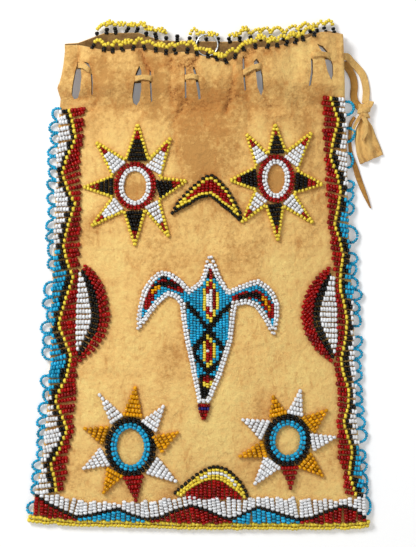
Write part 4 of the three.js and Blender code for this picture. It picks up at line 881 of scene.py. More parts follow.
def new_tree(name, sizes, shares, stuff):
    """An empty geometry node tree for points, with named inputs. Returns it and what its inputs give."""
    tree = bpy.data.node_groups.new(name, "GeometryNodeTree")
    face = tree.interface
    face.new_socket("Geometry", in_out="INPUT", socket_type="NodeSocketGeometry")
    for label in sizes:
        face.new_socket(label, in_out="INPUT", socket_type="NodeSocketFloat").subtype = "DISTANCE"
    for label, default in shares.items():
        face.new_socket(label, in_out="INPUT", socket_type="NodeSocketFloat").default_value = default
    face.new_socket(stuff, in_out="INPUT", socket_type="NodeSocketMaterial")
    face.new_socket("Geometry", in_out="OUTPUT", socket_type="NodeSocketGeometry")
    return tree, node(tree, "NodeGroupInput").outputs


def end_tree(tree, body, stuff):
    """Makes real geometry of a tree's instances and gives it its material."""
    real = node(tree, "GeometryNodeRealizeInstances", Geometry=body)
    looked = node(tree, "GeometryNodeSetMaterial", Geometry=real, Material=stuff)
    node(tree, "NodeGroupOutput", Geometry=looked)


def bead_tree():
    """Geometry nodes that set a bead on every point, its hole along the thread."""
    if "sewn_beads" in bpy.data.node_groups:
        return bpy.data.node_groups["sewn_beads"]
    tree, given = new_tree("sewn_beads", ("Diameter", "Length", "Hole"), {"Unevenness": UNEVENNESS}, "Glass")

    # The ring runs half way between the hole and the outside. Its section has five corners, one towards the hole.
    both = node(tree, "ShaderNodeMath", ADD, i0=given["Diameter"], i1=given["Hole"])
    reach = node(tree, "ShaderNodeMath", MULTIPLY, i0=both, i1=0.25)
    ring = node(tree, "GeometryNodeCurvePrimitiveCircle", Resolution=8, Radius=reach)
    section = node(tree, "GeometryNodeCurvePrimitiveCircle", Resolution=5, Radius=1.0)
    wall = node(tree, "ShaderNodeMath", SUBTRACT, i0=given["Diameter"], i1=given["Hole"])
    wide = node(tree, "ShaderNodeMath", MULTIPLY, i0=wall, i1=0.27)
    deep = node(tree, "ShaderNodeMath", MULTIPLY, i0=given["Length"], i1=0.525)
    size = node(tree, "ShaderNodeCombineXYZ", X=wide, Y=deep, Z=1.0)
    shaped = node(tree, "GeometryNodeTransform", Geometry=section, Scale=size)
    bead = node(tree, "GeometryNodeCurveToMesh", Curve=ring, Profile_Curve=shaped)
    smooth = node(tree, "GeometryNodeSetShadeSmooth", Geometry=bead)

    way = node(tree, "GeometryNodeInputNamedAttribute", {"data_type": "FLOAT_VECTOR"}, Name="way")
    turn = node(tree, "FunctionNodeAlignRotationToVector", {"axis": "Z"}, Vector=way)
    own = node(tree, "GeometryNodeInputNamedAttribute", {"data_type": "FLOAT"}, Name="size")
    low = node(tree, "ShaderNodeMath", SUBTRACT, i0=1.0, i1=given["Unevenness"])
    high = node(tree, "ShaderNodeMath", ADD, i0=1.0, i1=given["Unevenness"])
    uneven = node(tree, "FunctionNodeRandomValue", {"data_type": "FLOAT"}, i2=low, i3=high, Seed=11)
    scale = node(tree, "ShaderNodeMath", MULTIPLY, i0=own, i1=uneven.outputs[1])
    set_on = node(
        tree, "GeometryNodeInstanceOnPoints", Points=given["Geometry"], Instance=smooth, Rotation=turn, Scale=scale)
    shade = node(tree, "FunctionNodeRandomValue", {"data_type": "FLOAT"}, Seed=5)
    stored = node(
        tree, "GeometryNodeStoreNamedAttribute", {"data_type": "FLOAT", "domain": "INSTANCE"}, Geometry=set_on,
        Name="shade", Value=shade.outputs[1])
    end_tree(tree, stored, given["Glass"])
    return tree


def grown(name, points, attributes, tree, inputs):
    """The mesh that a node tree makes of points. attributes are (name, type, values), inputs set its sockets."""
    start = bpy.data.meshes.new(f"{name}_points")
    start.from_pydata(points, [], [])
    for label, sort, values in attributes:
        layer = start.attributes.new(label, sort, "POINT")
        layer.data.foreach_set("vector" if sort == "FLOAT_VECTOR" else "value", np.ravel(values))
    holder = link(f"{name}_points", start)
    modifier = holder.modifiers.new("grow", "NODES")
    modifier.node_group = tree
    sockets = {item.name: item.identifier for item in tree.interface.items_tree if item.in_out == "INPUT"}
    for label, value in inputs.items():
        modifier[sockets[label]] = value
    seen = holder.evaluated_get(bpy.context.evaluated_depsgraph_get())
    mesh = bpy.data.meshes.new_from_object(seen)
    mesh.name = name
    bpy.data.objects.remove(holder)
    bpy.data.meshes.remove(start)
    return mesh


def beads_mesh(name, beads, sort, glass):
    table = np.array(beads)
    attributes = (("way", "FLOAT_VECTOR", table[:, 3:6]), ("size", "FLOAT", table[:, 6]))
    inputs = {
        "Diameter": sort.diameter * MM, "Length": sort.length * MM, "Hole": HOLE_SHARE * sort.diameter * MM,
        "Unevenness": UNEVENNESS, "Glass": glass,
    }
    return grown(name, table[:, :3] * MM, attributes, bead_tree(), inputs)


# Sizes and colours that a user may change

def length(name, description, default):
    return bpy.props.FloatProperty(
        name=name, description=description, default=default, min=0.0, subtype="DISTANCE", unit="LENGTH", precision=4)


def watts(name, description, default):
    return bpy.props.FloatProperty(name=name, description=description, default=default, subtype="POWER")


def tint(name, description, code):
    return bpy.props.FloatVectorProperty(
        name=name, description=description, default=linear(code)[:3], size=3, min=0.0, max=1.0, subtype="COLOR")


def glass_tint(name, code):
    return tint(f"{name} beads", f"Colour of the lightest {name.lower()} bead", code)


def bead_size(name, where, default):
    return length(f"{name} bead", f"Diameter of the beads {where}", default)


class BagColours(bpy.types.PropertyGroup):
    hide: tint("Hide", "Middle tan of the smoked hide", "#f3c576")
    stain: tint("Stain", "Darkest brown of the soiled hide", "#86501c")
    flesh: tint("Flesh side", "Colour of the inside of the bag", "#94703e")
    lace: tint("Thong", "Colour of the thong's smoked face", "#e0b368")
    dark_lace: tint("Thong flesh side", "Colour of the thong's other face", "#ae7b36")
    white: glass_tint("White", "#f9fcff")
    red: glass_tint("Red", "#b3100c")
    black: glass_tint("Black", "#12100d")
    yellow: glass_tint("Yellow", "#ffe44c")
    blue: glass_tint("Blue", "#2bbcec")
    amber: glass_tint("Amber", "#fab010")
    navy: glass_tint("Navy", "#2c2a80")
    steel: tint("Ring", "Colour of the plated ring", "#d5d8db")
    sinew: tint("Sinew", "Colour of the seam's thread", "#cdb083")


class BeadSizes(bpy.types.PropertyGroup):
    band: bead_size("Band", "of the side bands, the foot band and the half moons", 0.0028)
    star: bead_size("Star", "of the rays of the upper stars, the chevron and the mound", 0.0025)
    rosette: bead_size("Rosette", "of the rays of the lower stars", 0.0027)
    ring: bead_size("Ring", "of the upper stars' rings and the figure's outline", 0.00215)
    outline: bead_size("Outline", "round the upper stars", 0.0022)
    figure: bead_size("Figure", "of the winged figure", 0.00205)
    rim: bead_size("Rim", "along the mouth, yellow", 0.0024)
    foot: bead_size("Foot", "along the foot, yellow", 0.0028)
    stem: bead_size("Stem", "at the mouth, black", 0.0027)
    loop: bead_size("Loop", "threaded in the side loops", 0.0019)


class ThongSizes(bpy.types.PropertyGroup):
    width: length("Width", "Width of the thong", 0.0044)
    thickness: length("Thickness", "Thickness of the thong", 0.0012)
    knot: length("Knot thong", "Width of the thong where it is tied", 0.0032)


class HideSizes(bpy.types.PropertyGroup):
    cell: length("Cell", "Size of the front panel's faces", 0.0016)
    back_cell: length("Back cell", "Size of the back panel's faces", 0.0026)
    # How far the soil and painted shade reach out from the beads
    soil_reach: length("Soil reach", "How far the soil reaches out from the beads", 0.0024)
    stitch: length("Stitch", "Distance from one seam stitch to the next", 0.004)


class StudioSizes(bpy.types.PropertyGroup):
    distance: length("Camera distance", "Height of the camera over the bag", 1.5)
    floor: length("Floor", "Side of the floor", 4.0)
    key: watts("Key lamp", "Power of the main lamp", 20.4)
    fill: watts("Fill lamp", "Power of the second lamp", 5.0)
    sky: bpy.props.FloatProperty(name="Sky", description="Strength of the light from all round", default=0.33)


# Operators, one for each piece or group of like pieces

# Lamps of the studio: name, property that holds the power, side of the lamp and place, in metres
LAMPS = (("key_lamp", "key", 0.55, (-0.85, 0.85, 1.05)), ("fill_lamp", "fill", 1.4, (0.9, -0.5, 1.3)))
SENSOR = 24                     # height of the camera's sensor
MIDDLE = 0.012                  # height over the floor at which the scale is the photograph's
FLOOR_DROP = 0.0002             # how far the floor lies below the bag, so that the two don't fight
PAPER_GLOW = 0.2


class BAG_OT_stage(bpy.types.Operator):
    """Sets the camera, the lamps, the sky and the floor"""

    bl_idname = "bag.stage"
    bl_label = "Stage"

    def execute(self, context):
        sizes = context.scene.bag_studio
        (x, y), = px(PHOTO_CENTRE)
        camera = bpy.data.cameras.new("photo_view")
        camera.sensor_fit = "VERTICAL"
        camera.sensor_height = SENSOR
        camera.lens = SENSOR * (sizes.distance - MIDDLE) / (PHOTO_HEIGHT * PIXEL * MM)
        context.scene.camera = link("photo_view", camera)
        context.scene.camera.location = (x * MM, y * MM, sizes.distance)
        context.scene.view_settings.view_transform = "Standard"

        for name, power, size, place in LAMPS:
            lamp = bpy.data.lights.new(name, "AREA")
            lamp.energy = getattr(sizes, power)
            lamp.size = size
            made = link(name, lamp)
            made.location = place
            made.rotation_euler = (Vector((0, 0, 0)) - Vector(place)).to_track_quat("-Z", "Y").to_euler()

        world = bpy.data.worlds.new("studio")
        context.scene.world = world
        world.use_nodes = True
        tree = world.node_tree
        tree.nodes.clear()
        path, seen = self.seen(tree)
        seen = node(tree, "ShaderNodeMath", MAXIMUM, i0=seen, i1=path["Is Transmission Ray"])
        strength = node(tree, "ShaderNodeMapRange", Value=seen, To_Min=sizes.sky, To_Max=1.0)
        white = node(tree, "ShaderNodeBackground", Color=(1, 1, 1, 1), Strength=strength)
        node(tree, "ShaderNodeOutputWorld", Surface=white)

        half = sizes.floor / 2
        mesh = bpy.data.meshes.new("floor")
        corners = [(-half, -half, 0), (half, -half, 0), (half, half, 0), (-half, half, 0)]
        mesh.from_pydata(corners, [], [(0, 1, 2, 3)])
        mesh.materials.append(self.paper())
        floor = link("floor", mesh)
        floor.location = (0, 0, -FLOOR_DROP)
        return {"FINISHED"}

    def seen(self, tree):
        """What the light path node gives, and a node that is 1 where the camera or a reflection looks."""
        path = node(tree, "ShaderNodeLightPath").outputs
        return path, node(
            tree, "ShaderNodeMath", MAXIMUM, i0=path["Is Camera Ray"], i1=path["Is Glossy Ray"])

    def paper(self):
        """White studio paper, matt, which glows a little for the eye so that the background is white."""
        made, tree = new_material("studio_paper")
        seen = self.seen(tree)[1]
        glow = node(tree, "ShaderNodeMath", MULTIPLY, i0=seen, i1=PAPER_GLOW)
        end_material(
            tree, Base_Color=linear("#f6f6f6"), Roughness=0.95, Specular_IOR_Level=0.0, Emission_Color=(1, 1, 1, 1),
            Emission_Strength=glow)
        return made


class BAG_OT_strands(bpy.types.Operator):
    """Lays the two free strands of the thong, with their knot, fan end and tail"""

    bl_idname = "bag.strands"
    bl_label = "Free strands"

    def execute(self, context):
        knot = self.knot(context.scene.bag_thong)
        fan = self.fan()
        tail = self.tail()
        self.strand("upper_strand", UPPER_STRAND, "lace", [knot, fan])
        self.strand("lower_strand", LOWER_STRAND, "dark_lace", [tail])
        return {"FINISHED"}

    def strand(self, name, points, look, carried):
        sizes = bpy.context.scene.bag_thong
        line = smooth_line(points, 0.8)
        widths = [sizes.width / MM] * len(line)
        mesh = mesh_from(f"thong_{name}", *tube(strap_sections(line, widths, sizes.thickness / MM)), sharp=50)
        made = finish_piece(f"thong_{name}", mesh, look, (f"drawstring_{name}",))

    def knot(self, sizes):
        """An overhand knot: two turns of the thong round the gathered strands, and a short end that stands out."""
        points, faces = [], []
        steps, width = 40, sizes.knot / MM
        for slant, drop, reach, spread in KNOT_TURNS:
            turn = []
            for i in range(steps):
                a = 2 * math.pi * i / steps
                x, z = KNOT_WIDE * reach * math.cos(a), KNOT_DEEP * reach * math.sin(a)
                turn.append(Vector(KNOT_CENTRE) + Vector((x, drop + slant * x, z)))
            ring = [turn[-1], *turn, turn[0]]
            sections = strap_sections(ring, [width * spread] * len(ring), 1.1, level=Vector((slant, 1, 0)))
            join(points, faces, tube(sections[1:-1], closed=True))
        bundle = smooth_line(KNOT_BUNDLE, 0.7)
        join(points, faces, tube(strap_sections(bundle, [5.6] * len(bundle), 3.0)))
        stub = smooth_line(KNOT_STUB, 0.6)
        widths = [mix(3.4, 4.2, i / len(stub)) for i in range(len(stub))]
        join(points, faces, tube(strap_sections(stub, widths, 1.2)))
        mesh = mesh_from("thong_knot", points, faces, sharp=55)
        return finish_piece("thong_knot", mesh, "lace", ("drawstring_knot",))

    def fan(self):
        """The broad cut end, in loose folds from the knot down, and the two narrow ends that hang over it."""
        across, rows = 56, 34
        upper, lower = [], []
        places = range(len(FAN))
        for row in range(rows + 1):
            t = row / rows
            at = t * (len(FAN) - 1)
            left, top, right, low = (float(np.interp(at, places, [rung[k] for rung in FAN])) for k in range(4))
            for column in range(across + 1):
                s = column / across
                x, y = mix(left, right, s), mix(top, low, s)
                swell = 1 - (2 * s - 1) ** 6
                folds = 0.5 + 0.5 * math.sin(2 * math.pi * (1.9 * s + 0.16 * math.sin(3 * t) + 0.1))
                uneven = 0.5 * waves(x, y, 3, 5, 2)
                rise = max(0.0, swell * (0.5 + 0.9 * t) * (1.9 * folds ** 0.8 + uneven))
                ragged = 0.5 * waves(x, 3, 1.6, 1, 5) * (row == rows)
                upper.append((x, y + ragged, 1.3 + rise))
                lower.append((x, y + ragged, max(LEAST_HEIGHT, rise - 0.1)))
        points, faces = sheet_body(upper, lower, across, rows, 0.3)
        for line, width in FAN_ENDS:
            strip = smooth_line(line, 0.7)
            widths = [width * (1 - 0.4 * i / len(strip)) for i in range(len(strip))]
            join(points, faces, tube(strap_sections(strip, widths, 1)))
        mesh = mesh_from("thong_fan_end", points, faces, sharp=60)
        return finish_piece("thong_fan_end", mesh, "lace", ("drawstring_fan_end",))

    def tail(self):
        """The thin end, which narrows to a point and lies a little twisted."""
        line = smooth_line([(x, y, 0.62) for x, y in TAIL], 0.8)
        places = np.linspace(0, 1, len(TAIL))
        widths = [float(np.interp(i / (len(line) - 1), places, TAIL_WIDTHS)) for i in range(len(line))]
        line = [p + Vector((0, 0, 0.25 * (1 - math.cos(i / 4)))) for i, p in enumerate(line)]
        twist = [0.28 * math.sin(i / 9) for i in range(len(line))]
        mesh = mesh_from("thong_tail", *tube(strap_sections(line, widths, 1.2, twist)), sharp=50)
        return finish_piece("thong_tail", mesh, "dark_lace", ("drawstring_tail",))


def sheet_body(upper, lower, across, rows, bulge):
    """Points and faces of a sheet between two grids of points, with a rounded rim."""
    wide = across + 1
    count = len(upper)
    points = [*upper, *lower]
    faces = []
    for row in range(rows):
        for column in range(across):
            a = row * wide + column
            faces.append((a, a + 1, a + 1 + wide, a + wide))
            faces.append(tuple(count + k for k in (a + wide, a + 1 + wide, a + 1, a)))
    rim = [*range(across), *(row * wide + across for row in range(rows))]
    rim += [*(rows * wide + column for column in range(across, 0, -1)), *(row * wide for row in range(rows, 0, -1))]
    centre = Vector(np.mean(np.array(upper), axis=0))
    first = len(points)
    for i, k in enumerate(rim):
        after, before = Vector(upper[rim[(i + 1) % len(rim)]]), Vector(upper[rim[i - 1]])
        out = (after - before).cross(Vector((0, 0, 1))).normalized() * bulge
        if out.dot(Vector(upper[k]) - centre) < 0:
            out = -out
        points.append(tuple((Vector(upper[k]) + Vector(lower[k])) / 2 + out))
    for i, k in enumerate(rim):
        j = (i + 1) % len(rim)
        faces.append((k, rim[j], first + j, first + i))
        faces.append((first + i, first + j, count + rim[j], count + k))
    return points, faces


class BAG_OT_hide(bpy.types.Operator):
    """Makes the two hide panels with their slits, creases, soil and painted shade"""

    bl_idname = "bag.hide"
    bl_label = "Hide"

    def execute(self, context):
        sizes = context.scene.bag_hide
        blades = self.blades()
        front = self.panel("front_hide", FRONT_MOUTH, sizes.cell / MM, hide_face)
        back = self.panel("back_hide", BACK_MOUTH, sizes.back_cell / MM, self.back_face)
        for name, mesh, face, solid in (
            ("front_hide", front, hide_face, "front_panel"), ("back_hide", back, self.back_face, "back_panel"),
        ):
            cut = self.slit(name, mesh, blades)
            made = finish_piece(name, cut, "hide", (solid,))
            made.data.materials.append(material("flesh"))
            self.dress(cut, sizes.soil_reach / MM, name == "front_hide")
            # The sheet's flat size: its widest part near the foot, and its length up a line left of the middle
            widest = max(abs(along(LEFT_EDGE, y)) + along(RIGHT_EDGE, y) for y in (-146, -100))
            up = self.run([(-20, y, face(-20, y)) for y in np.linspace(along(FOOT_EDGE, -20), 140, 90)])
        bpy.data.objects.remove(blades)
        return {"FINISHED"}

    def run(self, line):
        """Length of a line of points."""
        return sum(math.dist(a, b) for a, b in zip(line, line[1:]))

    def back_face(self, x, y):
        """Height of the back panel's inner face, whose lip curls up unevenly."""
        lip = clamp((y - along(BACK_MOUTH, x) + LIP) / LIP)
        curl = 0.5 + waves(x, y, 6, 14, 9.5)
        return back_top(y) + 0.25 * neck_share(y) * waves(x, y, 12, 30, 9.5) + 1.6 * lip * curl

    def panel(self, name, mouth, cell, face):
        """A panel from the foot to its mouth, the given height above the surface and a hide thick."""
        start, end = mouth[0][0], mouth[-1][0]
        across = round((end - start) / cell)
        rows = round((mouth[0][1] - FOOT_EDGE[0][1]) / cell)
        upper, lower = [], []
        for row in range(rows + 1):
            for column in range(across + 1):
                u = column / across
                top = along(mouth, mix(start, end, u))
                foot = along(FOOT_EDGE, mix(FOOT_EDGE[0][0], FOOT_EDGE[-1][0], u))
                y = mix(foot, top, row / rows)
                x = mix(along(LEFT_EDGE, y), along(RIGHT_EDGE, y), u)
                z = face(x, y)
                upper.append((x, y, z))
                lower.append((x, y, max(LEAST_HEIGHT, z - HIDE)))
        return mesh_from(name, *sheet_body(upper, lower, across, rows, 0.35))

    def blades(self):
        """The open shapes of the slits, as tall bodies."""
        points, faces = [], []
        for outline in SLITS:
            join(points, faces, tube([[(x, y, z) for x, y in outline] for z in (-20, 60)]))
        return link("blades", mesh_from("blades", points, faces, smooth=False))

    def slit(self, name, mesh, blades):
        """The mesh with the slits cut through it."""
        holder = link(f"{name}_uncut", mesh)
        cutter = holder.modifiers.new("slits", "BOOLEAN")
        cutter.operation = "DIFFERENCE"
        cutter.solver = "MANIFOLD"
        cutter.object = blades
        cut = bpy.data.meshes.new_from_object(holder.evaluated_get(bpy.context.evaluated_depsgraph_get()))
        bpy.data.objects.remove(holder)
        cut.shade_smooth()
        cut.set_sharp_from_angle(angle=math.radians(58))
        return cut

    def dress(self, mesh, reach, is_front):
        """Marks where the hide is soiled or has painted shade beside the beads and in the creases, and which faces
        show its flesh side.
        """
        tree = KDTree(len(Beadwork.placed) + 1)
        for i, (x, y) in enumerate(Beadwork.placed):
            tree.insert((x, y, 0), i)
        tree.balance()
        stains, tones = self.patches(STAINS), self.patches(TONES)
        soil, tone = [], []
        for vertex in mesh.vertices:
            x, y = vertex.co.x / MM, vertex.co.y / MM
            amount = 0.0
            if is_front:
                amount = self.strength(stains, x, y)
                # Soil and painted shade beside the beads, fading with the distance to the nearest one
                near = tree.find((x, y, 0))[2]
                amount += BEAD_SOIL_AND_SHADE * math.exp(-(near / reach) ** 2)
                # Painted shade along the creases and ridges, darker the deeper they are
                for line, depth, width in CREASES:
                    amount += CREASE_SHADE * abs(depth) * math.exp(-(away_from(line, x, y) / (0.8 * width)) ** 2)
            soil.append(min(1.0, amount))
            tone.append(min(1.0, self.strength(tones, x, y)))
        mesh.attributes.new("soil", "FLOAT", "POINT").data.foreach_set("value", soil)
        mesh.attributes.new("tone", "FLOAT", "POINT").data.foreach_set("value", tone)
        for face in mesh.polygons:
            up = face.normal.z > 0
            face.material_index = 1 if up != is_front and abs(face.normal.z) > 0.5 else 0

    def patches(self, table):
        """A table of patches in pixels, in millimetres."""
        return [(*px((x, y))[0], w * PIXEL, h * PIXEL, strength) for x, y, w, h, strength in table]

    def strength(self, patches, x, y):
        """How strongly the patches together colour a place."""
        total = 0.0
        for cx, cy, w, h, strength in patches:
            reach = ((x - cx) / w) ** 2 + ((y - cy) / h) ** 2
            if reach < PATCH_REACH:
                total += strength * math.exp(-reach)
        return total


class BAG_OT_thong(bpy.types.Operator):
    """Runs the thong through the slits of both panels"""

    bl_idname = "bag.thong"
    bl_label = "Thong"

    def execute(self, context):
        sizes = context.scene.bag_thong
        width, thick = sizes.width / MM, sizes.thickness / MM
        half = thick / 2
        front = self.run(
            lambda x, y: hide_face(x, y) - HIDE - LACE_CLEARANCE / 2 - half,
            lambda x, y: hide_face(x, y) + LACE_CLEARANCE / 2 + half, 0.6, width, thick, 0)
        back = self.run(
            lambda x, y: back_top(y) + GAP + half, lambda x, y: back_under(y) - GAP - half, 0, width, thick,
            LACE_EXIT_STEP)
        line = smooth_line([*reversed(front), *back[1:]], 1.0)
        widths = []
        for place in line:
            drawn_in = min(abs(place.x - (into[0] + out[0]) / 2) for into, out in CROSSINGS)
            widths.append(width * (0.7 + 0.3 * clamp((drawn_in - 3) / 4)))
        sections = strap_sections(line, widths, thick, level=Vector((0, 1, 0)))
        mesh = mesh_from("thong", *tube(sections), sharp=50)
        finish_piece("thong", mesh, "lace", ("drawstring",))
        return {"FINISHED"}

    def run(self, inside, outside, arch, width, thick, step):
        """Places of the thong's middle along one panel, from the left end of the neck to its right edge."""
        (first, _), (_, last) = CROSSINGS[0], CROSSINGS[-1]
        start = (along(LEFT_EDGE, first[1]) + width / 2, first[1])
        end = (along(RIGHT_EDGE, last[1]) - 0.4, last[1] + thick - step)
        line = [(*start, inside(*start))]
        before = start
        for into, out in CROSSINGS:
            for share in (0.3, 0.6, 0.88):
                here = (mix(before[0], into[0], share), mix(before[1], into[1], share))
                line.append((*here, inside(*here)))
            line.append((into[0] - 0.2, into[1], (inside(*into) + outside(*into)) / 2))
            line.append((into[0] + 0.9, mix(into[1], out[1], 0.1), outside(*into)))
            middle = (mix(into[0], out[0], 0.5), mix(into[1], out[1], 0.5) + arch)
            line.append((*middle, outside(*middle) + 0.25))
            line.append((out[0] - 0.9, mix(into[1], out[1], 0.9), outside(*out)))
            line.append((out[0] + 0.2, out[1], (inside(*out) + outside(*out)) / 2))
            before = out
        for share in (0.25, 0.6, 1):
            here = (mix(before[0], end[0], share), mix(before[1], end[1], share))
            line.append((*here, inside(*here)))
        return line


RING_WIRE = 1.0                 # width of the ring's wire
RING_HALF, RING_STEP = 0.36, 0.34       # half its height, and how far each turn lies off the ring's middle


class BAG_OT_ring(bpy.types.Operator):
    """Bends the split ring that the bag hangs from, two turns of one wire"""

    bl_idname = "bag.ring"
    bl_label = "Hanging ring"

    def execute(self, context):
        low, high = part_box("hanging_ring")
        middle = [(a + b) / 2 / MM for a, b in zip(low, high)]
        reach = (high[0] - low[0]) / 2 / MM - RING_WIRE / 2
        steps, sides = 132, 8
        sections = []
        for i in range(steps + 1):
            turn = math.radians(40) + 4 * math.pi * i / steps
            level = middle[2] + RING_STEP * math.tanh(5 * (i / steps - 0.5))
            loop = []
            for k in range(sides):
                a = 2 * math.pi * (k + 0.5) / sides
                r = reach + 0.5 * RING_WIRE * math.cos(a)
                x, y = middle[0] + r * math.cos(turn), middle[1] + r * math.sin(turn)
                loop.append((x, y, level + RING_HALF * math.sin(a)))
            sections.append(loop)
        mesh = mesh_from("split_ring", *tube(sections), sharp=60)
        finish_piece("split_ring", mesh, "steel", ("hanging_ring",))
        return {"FINISHED"}


SLANT_KEPT = 0.8                # how much of a row's chance slant the next row keeps
BAND_SLANT = 0.16               # how steeply the rows of a side band run down and out
ONE_BLACK = 0.55                # share of the rows with one black bead. The others have two


class BAG_OT_bands(bpy.types.Operator):
    """Sews the two side bands: red field, yellow wave line, black line, white and blue border"""

    bl_idname = "bag.bands"
    bl_label = "Side bands"

    def execute(self, context):
        for side in SIDES:
            work = Beadwork("band", f"{side.name} band")
            top, bottom = side.wave[0][0], side.wave[-1][0]
            rows = round((top - bottom) / work.sort.step)
            slope = 0.0
            for i in range(rows + 1):
                y = mix(top, bottom, i / rows) + work.chance.gauss(0, 0.12)
                x, inner, edge = along(side.wave, y), along(side.wave, y, 2), along(side.edge, y)
                slope = SLANT_KEPT * slope + work.chance.gauss(0, 0.06)
                border = "blue" if any(low <= y <= high for high, low in side.blue) else "white"
                blacks = 1 if work.chance.random() < ONE_BLACK else 2
                colours = ["yellow"] + ["black"] * blacks
                work.anchored(
                    (x, y), (side.out, slope - BAND_SLANT), abs(x - inner), abs(edge - x) - 0.2,
                    lambda i, x, y: "red" if i < 0 else colours[i] if i < len(colours) else border)
            nodes = {colour: (f"{side.name}_band_{colour}",) for colour in ("red", "yellow", "black")}
            nodes["white"] = (f"{side.name}_band_border",)
            work.string_up(f"{side.name}_band", nodes)
        return {"FINISHED"}


class BAG_OT_foot_band(bpy.types.Operator):
    """Sews the foot band: white field, black wave line, red and blue fields"""

    bl_idname = "bag.foot_band"
    bl_label = "Foot band"

    def execute(self, context):
        work = Beadwork("band", "foot band")
        left, right = FOOT_WAVE[0][0], FOOT_WAVE[-1][0]
        columns = round((right - left) / (work.sort.step * 0.93))
        slope = 0.0
        for i in range(columns + 1):
            x = mix(left, right, i / columns)
            wave, top, bottom = along(FOOT_WAVE, x), along(FOOT_WAVE, x, 2), along(FOOT_EDGE, x) + 0.4
            top += work.chance.gauss(0.2, 0.6)
            slope = SLANT_KEPT * slope + work.chance.gauss(0, 0.07)
            field = next(name for limit, name in FOOT_FIELDS if x <= limit)
            start = wave - 0.5 * work.sort.diameter
            work.anchored(
                (x, start), (slope, 1), start - bottom - 0.6, top - start,
                lambda i, x, y: "black" if i == 0 else "white" if i > 0 else field)
        names = {"white": ("white",), "black": ("black",), "red": ("red_left", "red_middle", "red_right"),
                 "blue": ("blue_left", "blue_right")}
        work.string_up("foot_band", {c: tuple(f"foot_band_{n}" for n in names[c]) for c in names})
        return {"FINISHED"}


class BAG_OT_half_moons(bpy.types.Operator):
    """Sews the half moons that lean on the side bands"""

    bl_idname = "bag.half_moons"
    bl_label = "Half moons"

    def execute(self, context):
        for side in SIDES:
            white, black, red = side.moon
            work = Beadwork("band", f"{side.name} moon")
            top, bottom = white[0][1], white[-1][1]
            rows = round((top - bottom) / work.sort.step)
            for i in range(1, rows + 1):
                y = mix(top, bottom, i / rows)
                inner = along(side.wave, y, 2) - side.out * 0.5
                outer = along([(b, a) for a, b in white], y)
                if side.out * (inner - outer) > 0.9:
                    work.row((inner, y), (outer, y + 0.3), "white")
            for name, near, far in (("black", white, black), ("red", black, red)):
                work.lanes([(*a, *b) for a, b in zip(near, far)], name)
            nodes = {colour: (f"half_moon_{side.name}_{colour}",) for colour in ("white", "black", "red")}
            work.string_up(f"half_moon_{side.name}", nodes)
        return {"FINISHED"}


class BAG_OT_stars(bpy.types.Operator):
    """Sews the four stars: two rings, rays in rows, and the yellow outline of the upper two"""

    bl_idname = "bag.stars"
    bl_label = "Stars"

    def execute(self, context):
        for star in STARS:
            self.star(star)
        return {"FINISHED"}

    def star(self, star):
        hole, middle, outer = star.radii
        ring = Beadwork("ring" if star.kind == "star" else star.kind, f"{star.name} ring")
        for colour, near, far in ((star.rings[0], hole, middle), (star.rings[1], middle, outer)):
            ring.lanes(self.ring(star.centre, near, far), colour, closed=True, count=2)
        nodes = {star.rings[0]: (f"{star.name}_inner_ring",), star.rings[1]: (f"{star.name}_outer_ring",)}
        ring.string_up(f"{star.name}_ring", nodes)

        rays = Beadwork(star.kind, star.name)
        outlined = star.kind == "star"
        for tip, first, second, colour in star.rays:
            self.ray(rays, star, tip, first, second, colour, outlined)
        rays.string_up(f"{star.name}_rays", {star.rays[0][3]: (f"{star.name}_rays",)})
        if outlined:
            outline = Beadwork("outline", f"{star.name} outline")
            for tip, first, second, _ in star.rays:
                self.edge(outline, first, tip)
                self.edge(outline, tip, second)
            outline.string_up(f"{star.name}_outline", {"yellow": (f"{star.name}_outline",)})

    def ring(self, centre, near, far):
        """Rungs of a ring, from its hole outwards."""
        turns = [2 * math.pi * i / 48 for i in range(48)]
        return [(*self.on_ellipse(centre, near, a), *self.on_ellipse(centre, far, a)) for a in turns]

    def on_ellipse(self, centre, radii, angle):
        reach = 1 / math.hypot(math.cos(angle) / radii[0], math.sin(angle) / radii[1])
        return (centre[0] + reach * math.cos(angle), centre[1] + reach * math.sin(angle))

    def ray(self, work, star, tip, first, second, colour, outlined):
        """Rows across one ray, from the outer ring to its tip. An outlined one ends in red rows."""
        first, second, tip = Vector(first), Vector(second), Vector(tip)
        base = (first + second) / 2
        axis = tip - base
        reach = axis.length
        axis.normalize()
        across = Vector((axis.y, -axis.x))
        half = abs((second - first).dot(across)) / 2
        seat = Vector(self.on_ellipse(
            star.centre, star.radii[2], math.atan2(base.y - star.centre[1], base.x - star.centre[0])))
        start = min(0.0, (seat - base).dot(axis)) + 0.4
        margin = kind("outline").diameter * (0.42 if outlined else 0)
        stop = reach - (4.2 if outlined else 0.6)
        rows = max(1, round((stop - start) / work.sort.step))
        for i in range(rows):
            s = start + (i + 0.5) * (stop - start) / rows
            wide = half * (1 - max(0.0, s) / reach) - margin * (1 if s > 0 else 0.6)
            here = base + axis * s
            name = "red" if outlined and s > RED_TIP_SHARE * reach else colour
            wide = max(wide, 0.45 * work.sort.pitch)
            count = max(1, round(2 * wide / work.sort.pitch + 0.2))
            work.row(here - across * wide, here + across * wide, name, count)

    def edge(self, work, a, b):
        """Single beads from a to b, clockwise round the star, a twentieth of a bead inside the line."""
        run = Vector(b) - Vector(a)
        inward = Vector((run.y, -run.x)).normalized() * work.sort.diameter * 0.05
        count = max(2, round(run.length / work.sort.pitch))
        for i in range(count):
            place = Vector(a) + run * ((i + 0.5) / count) + inward
            work.sew("yellow", place.x, place.y, (run.x, run.y))


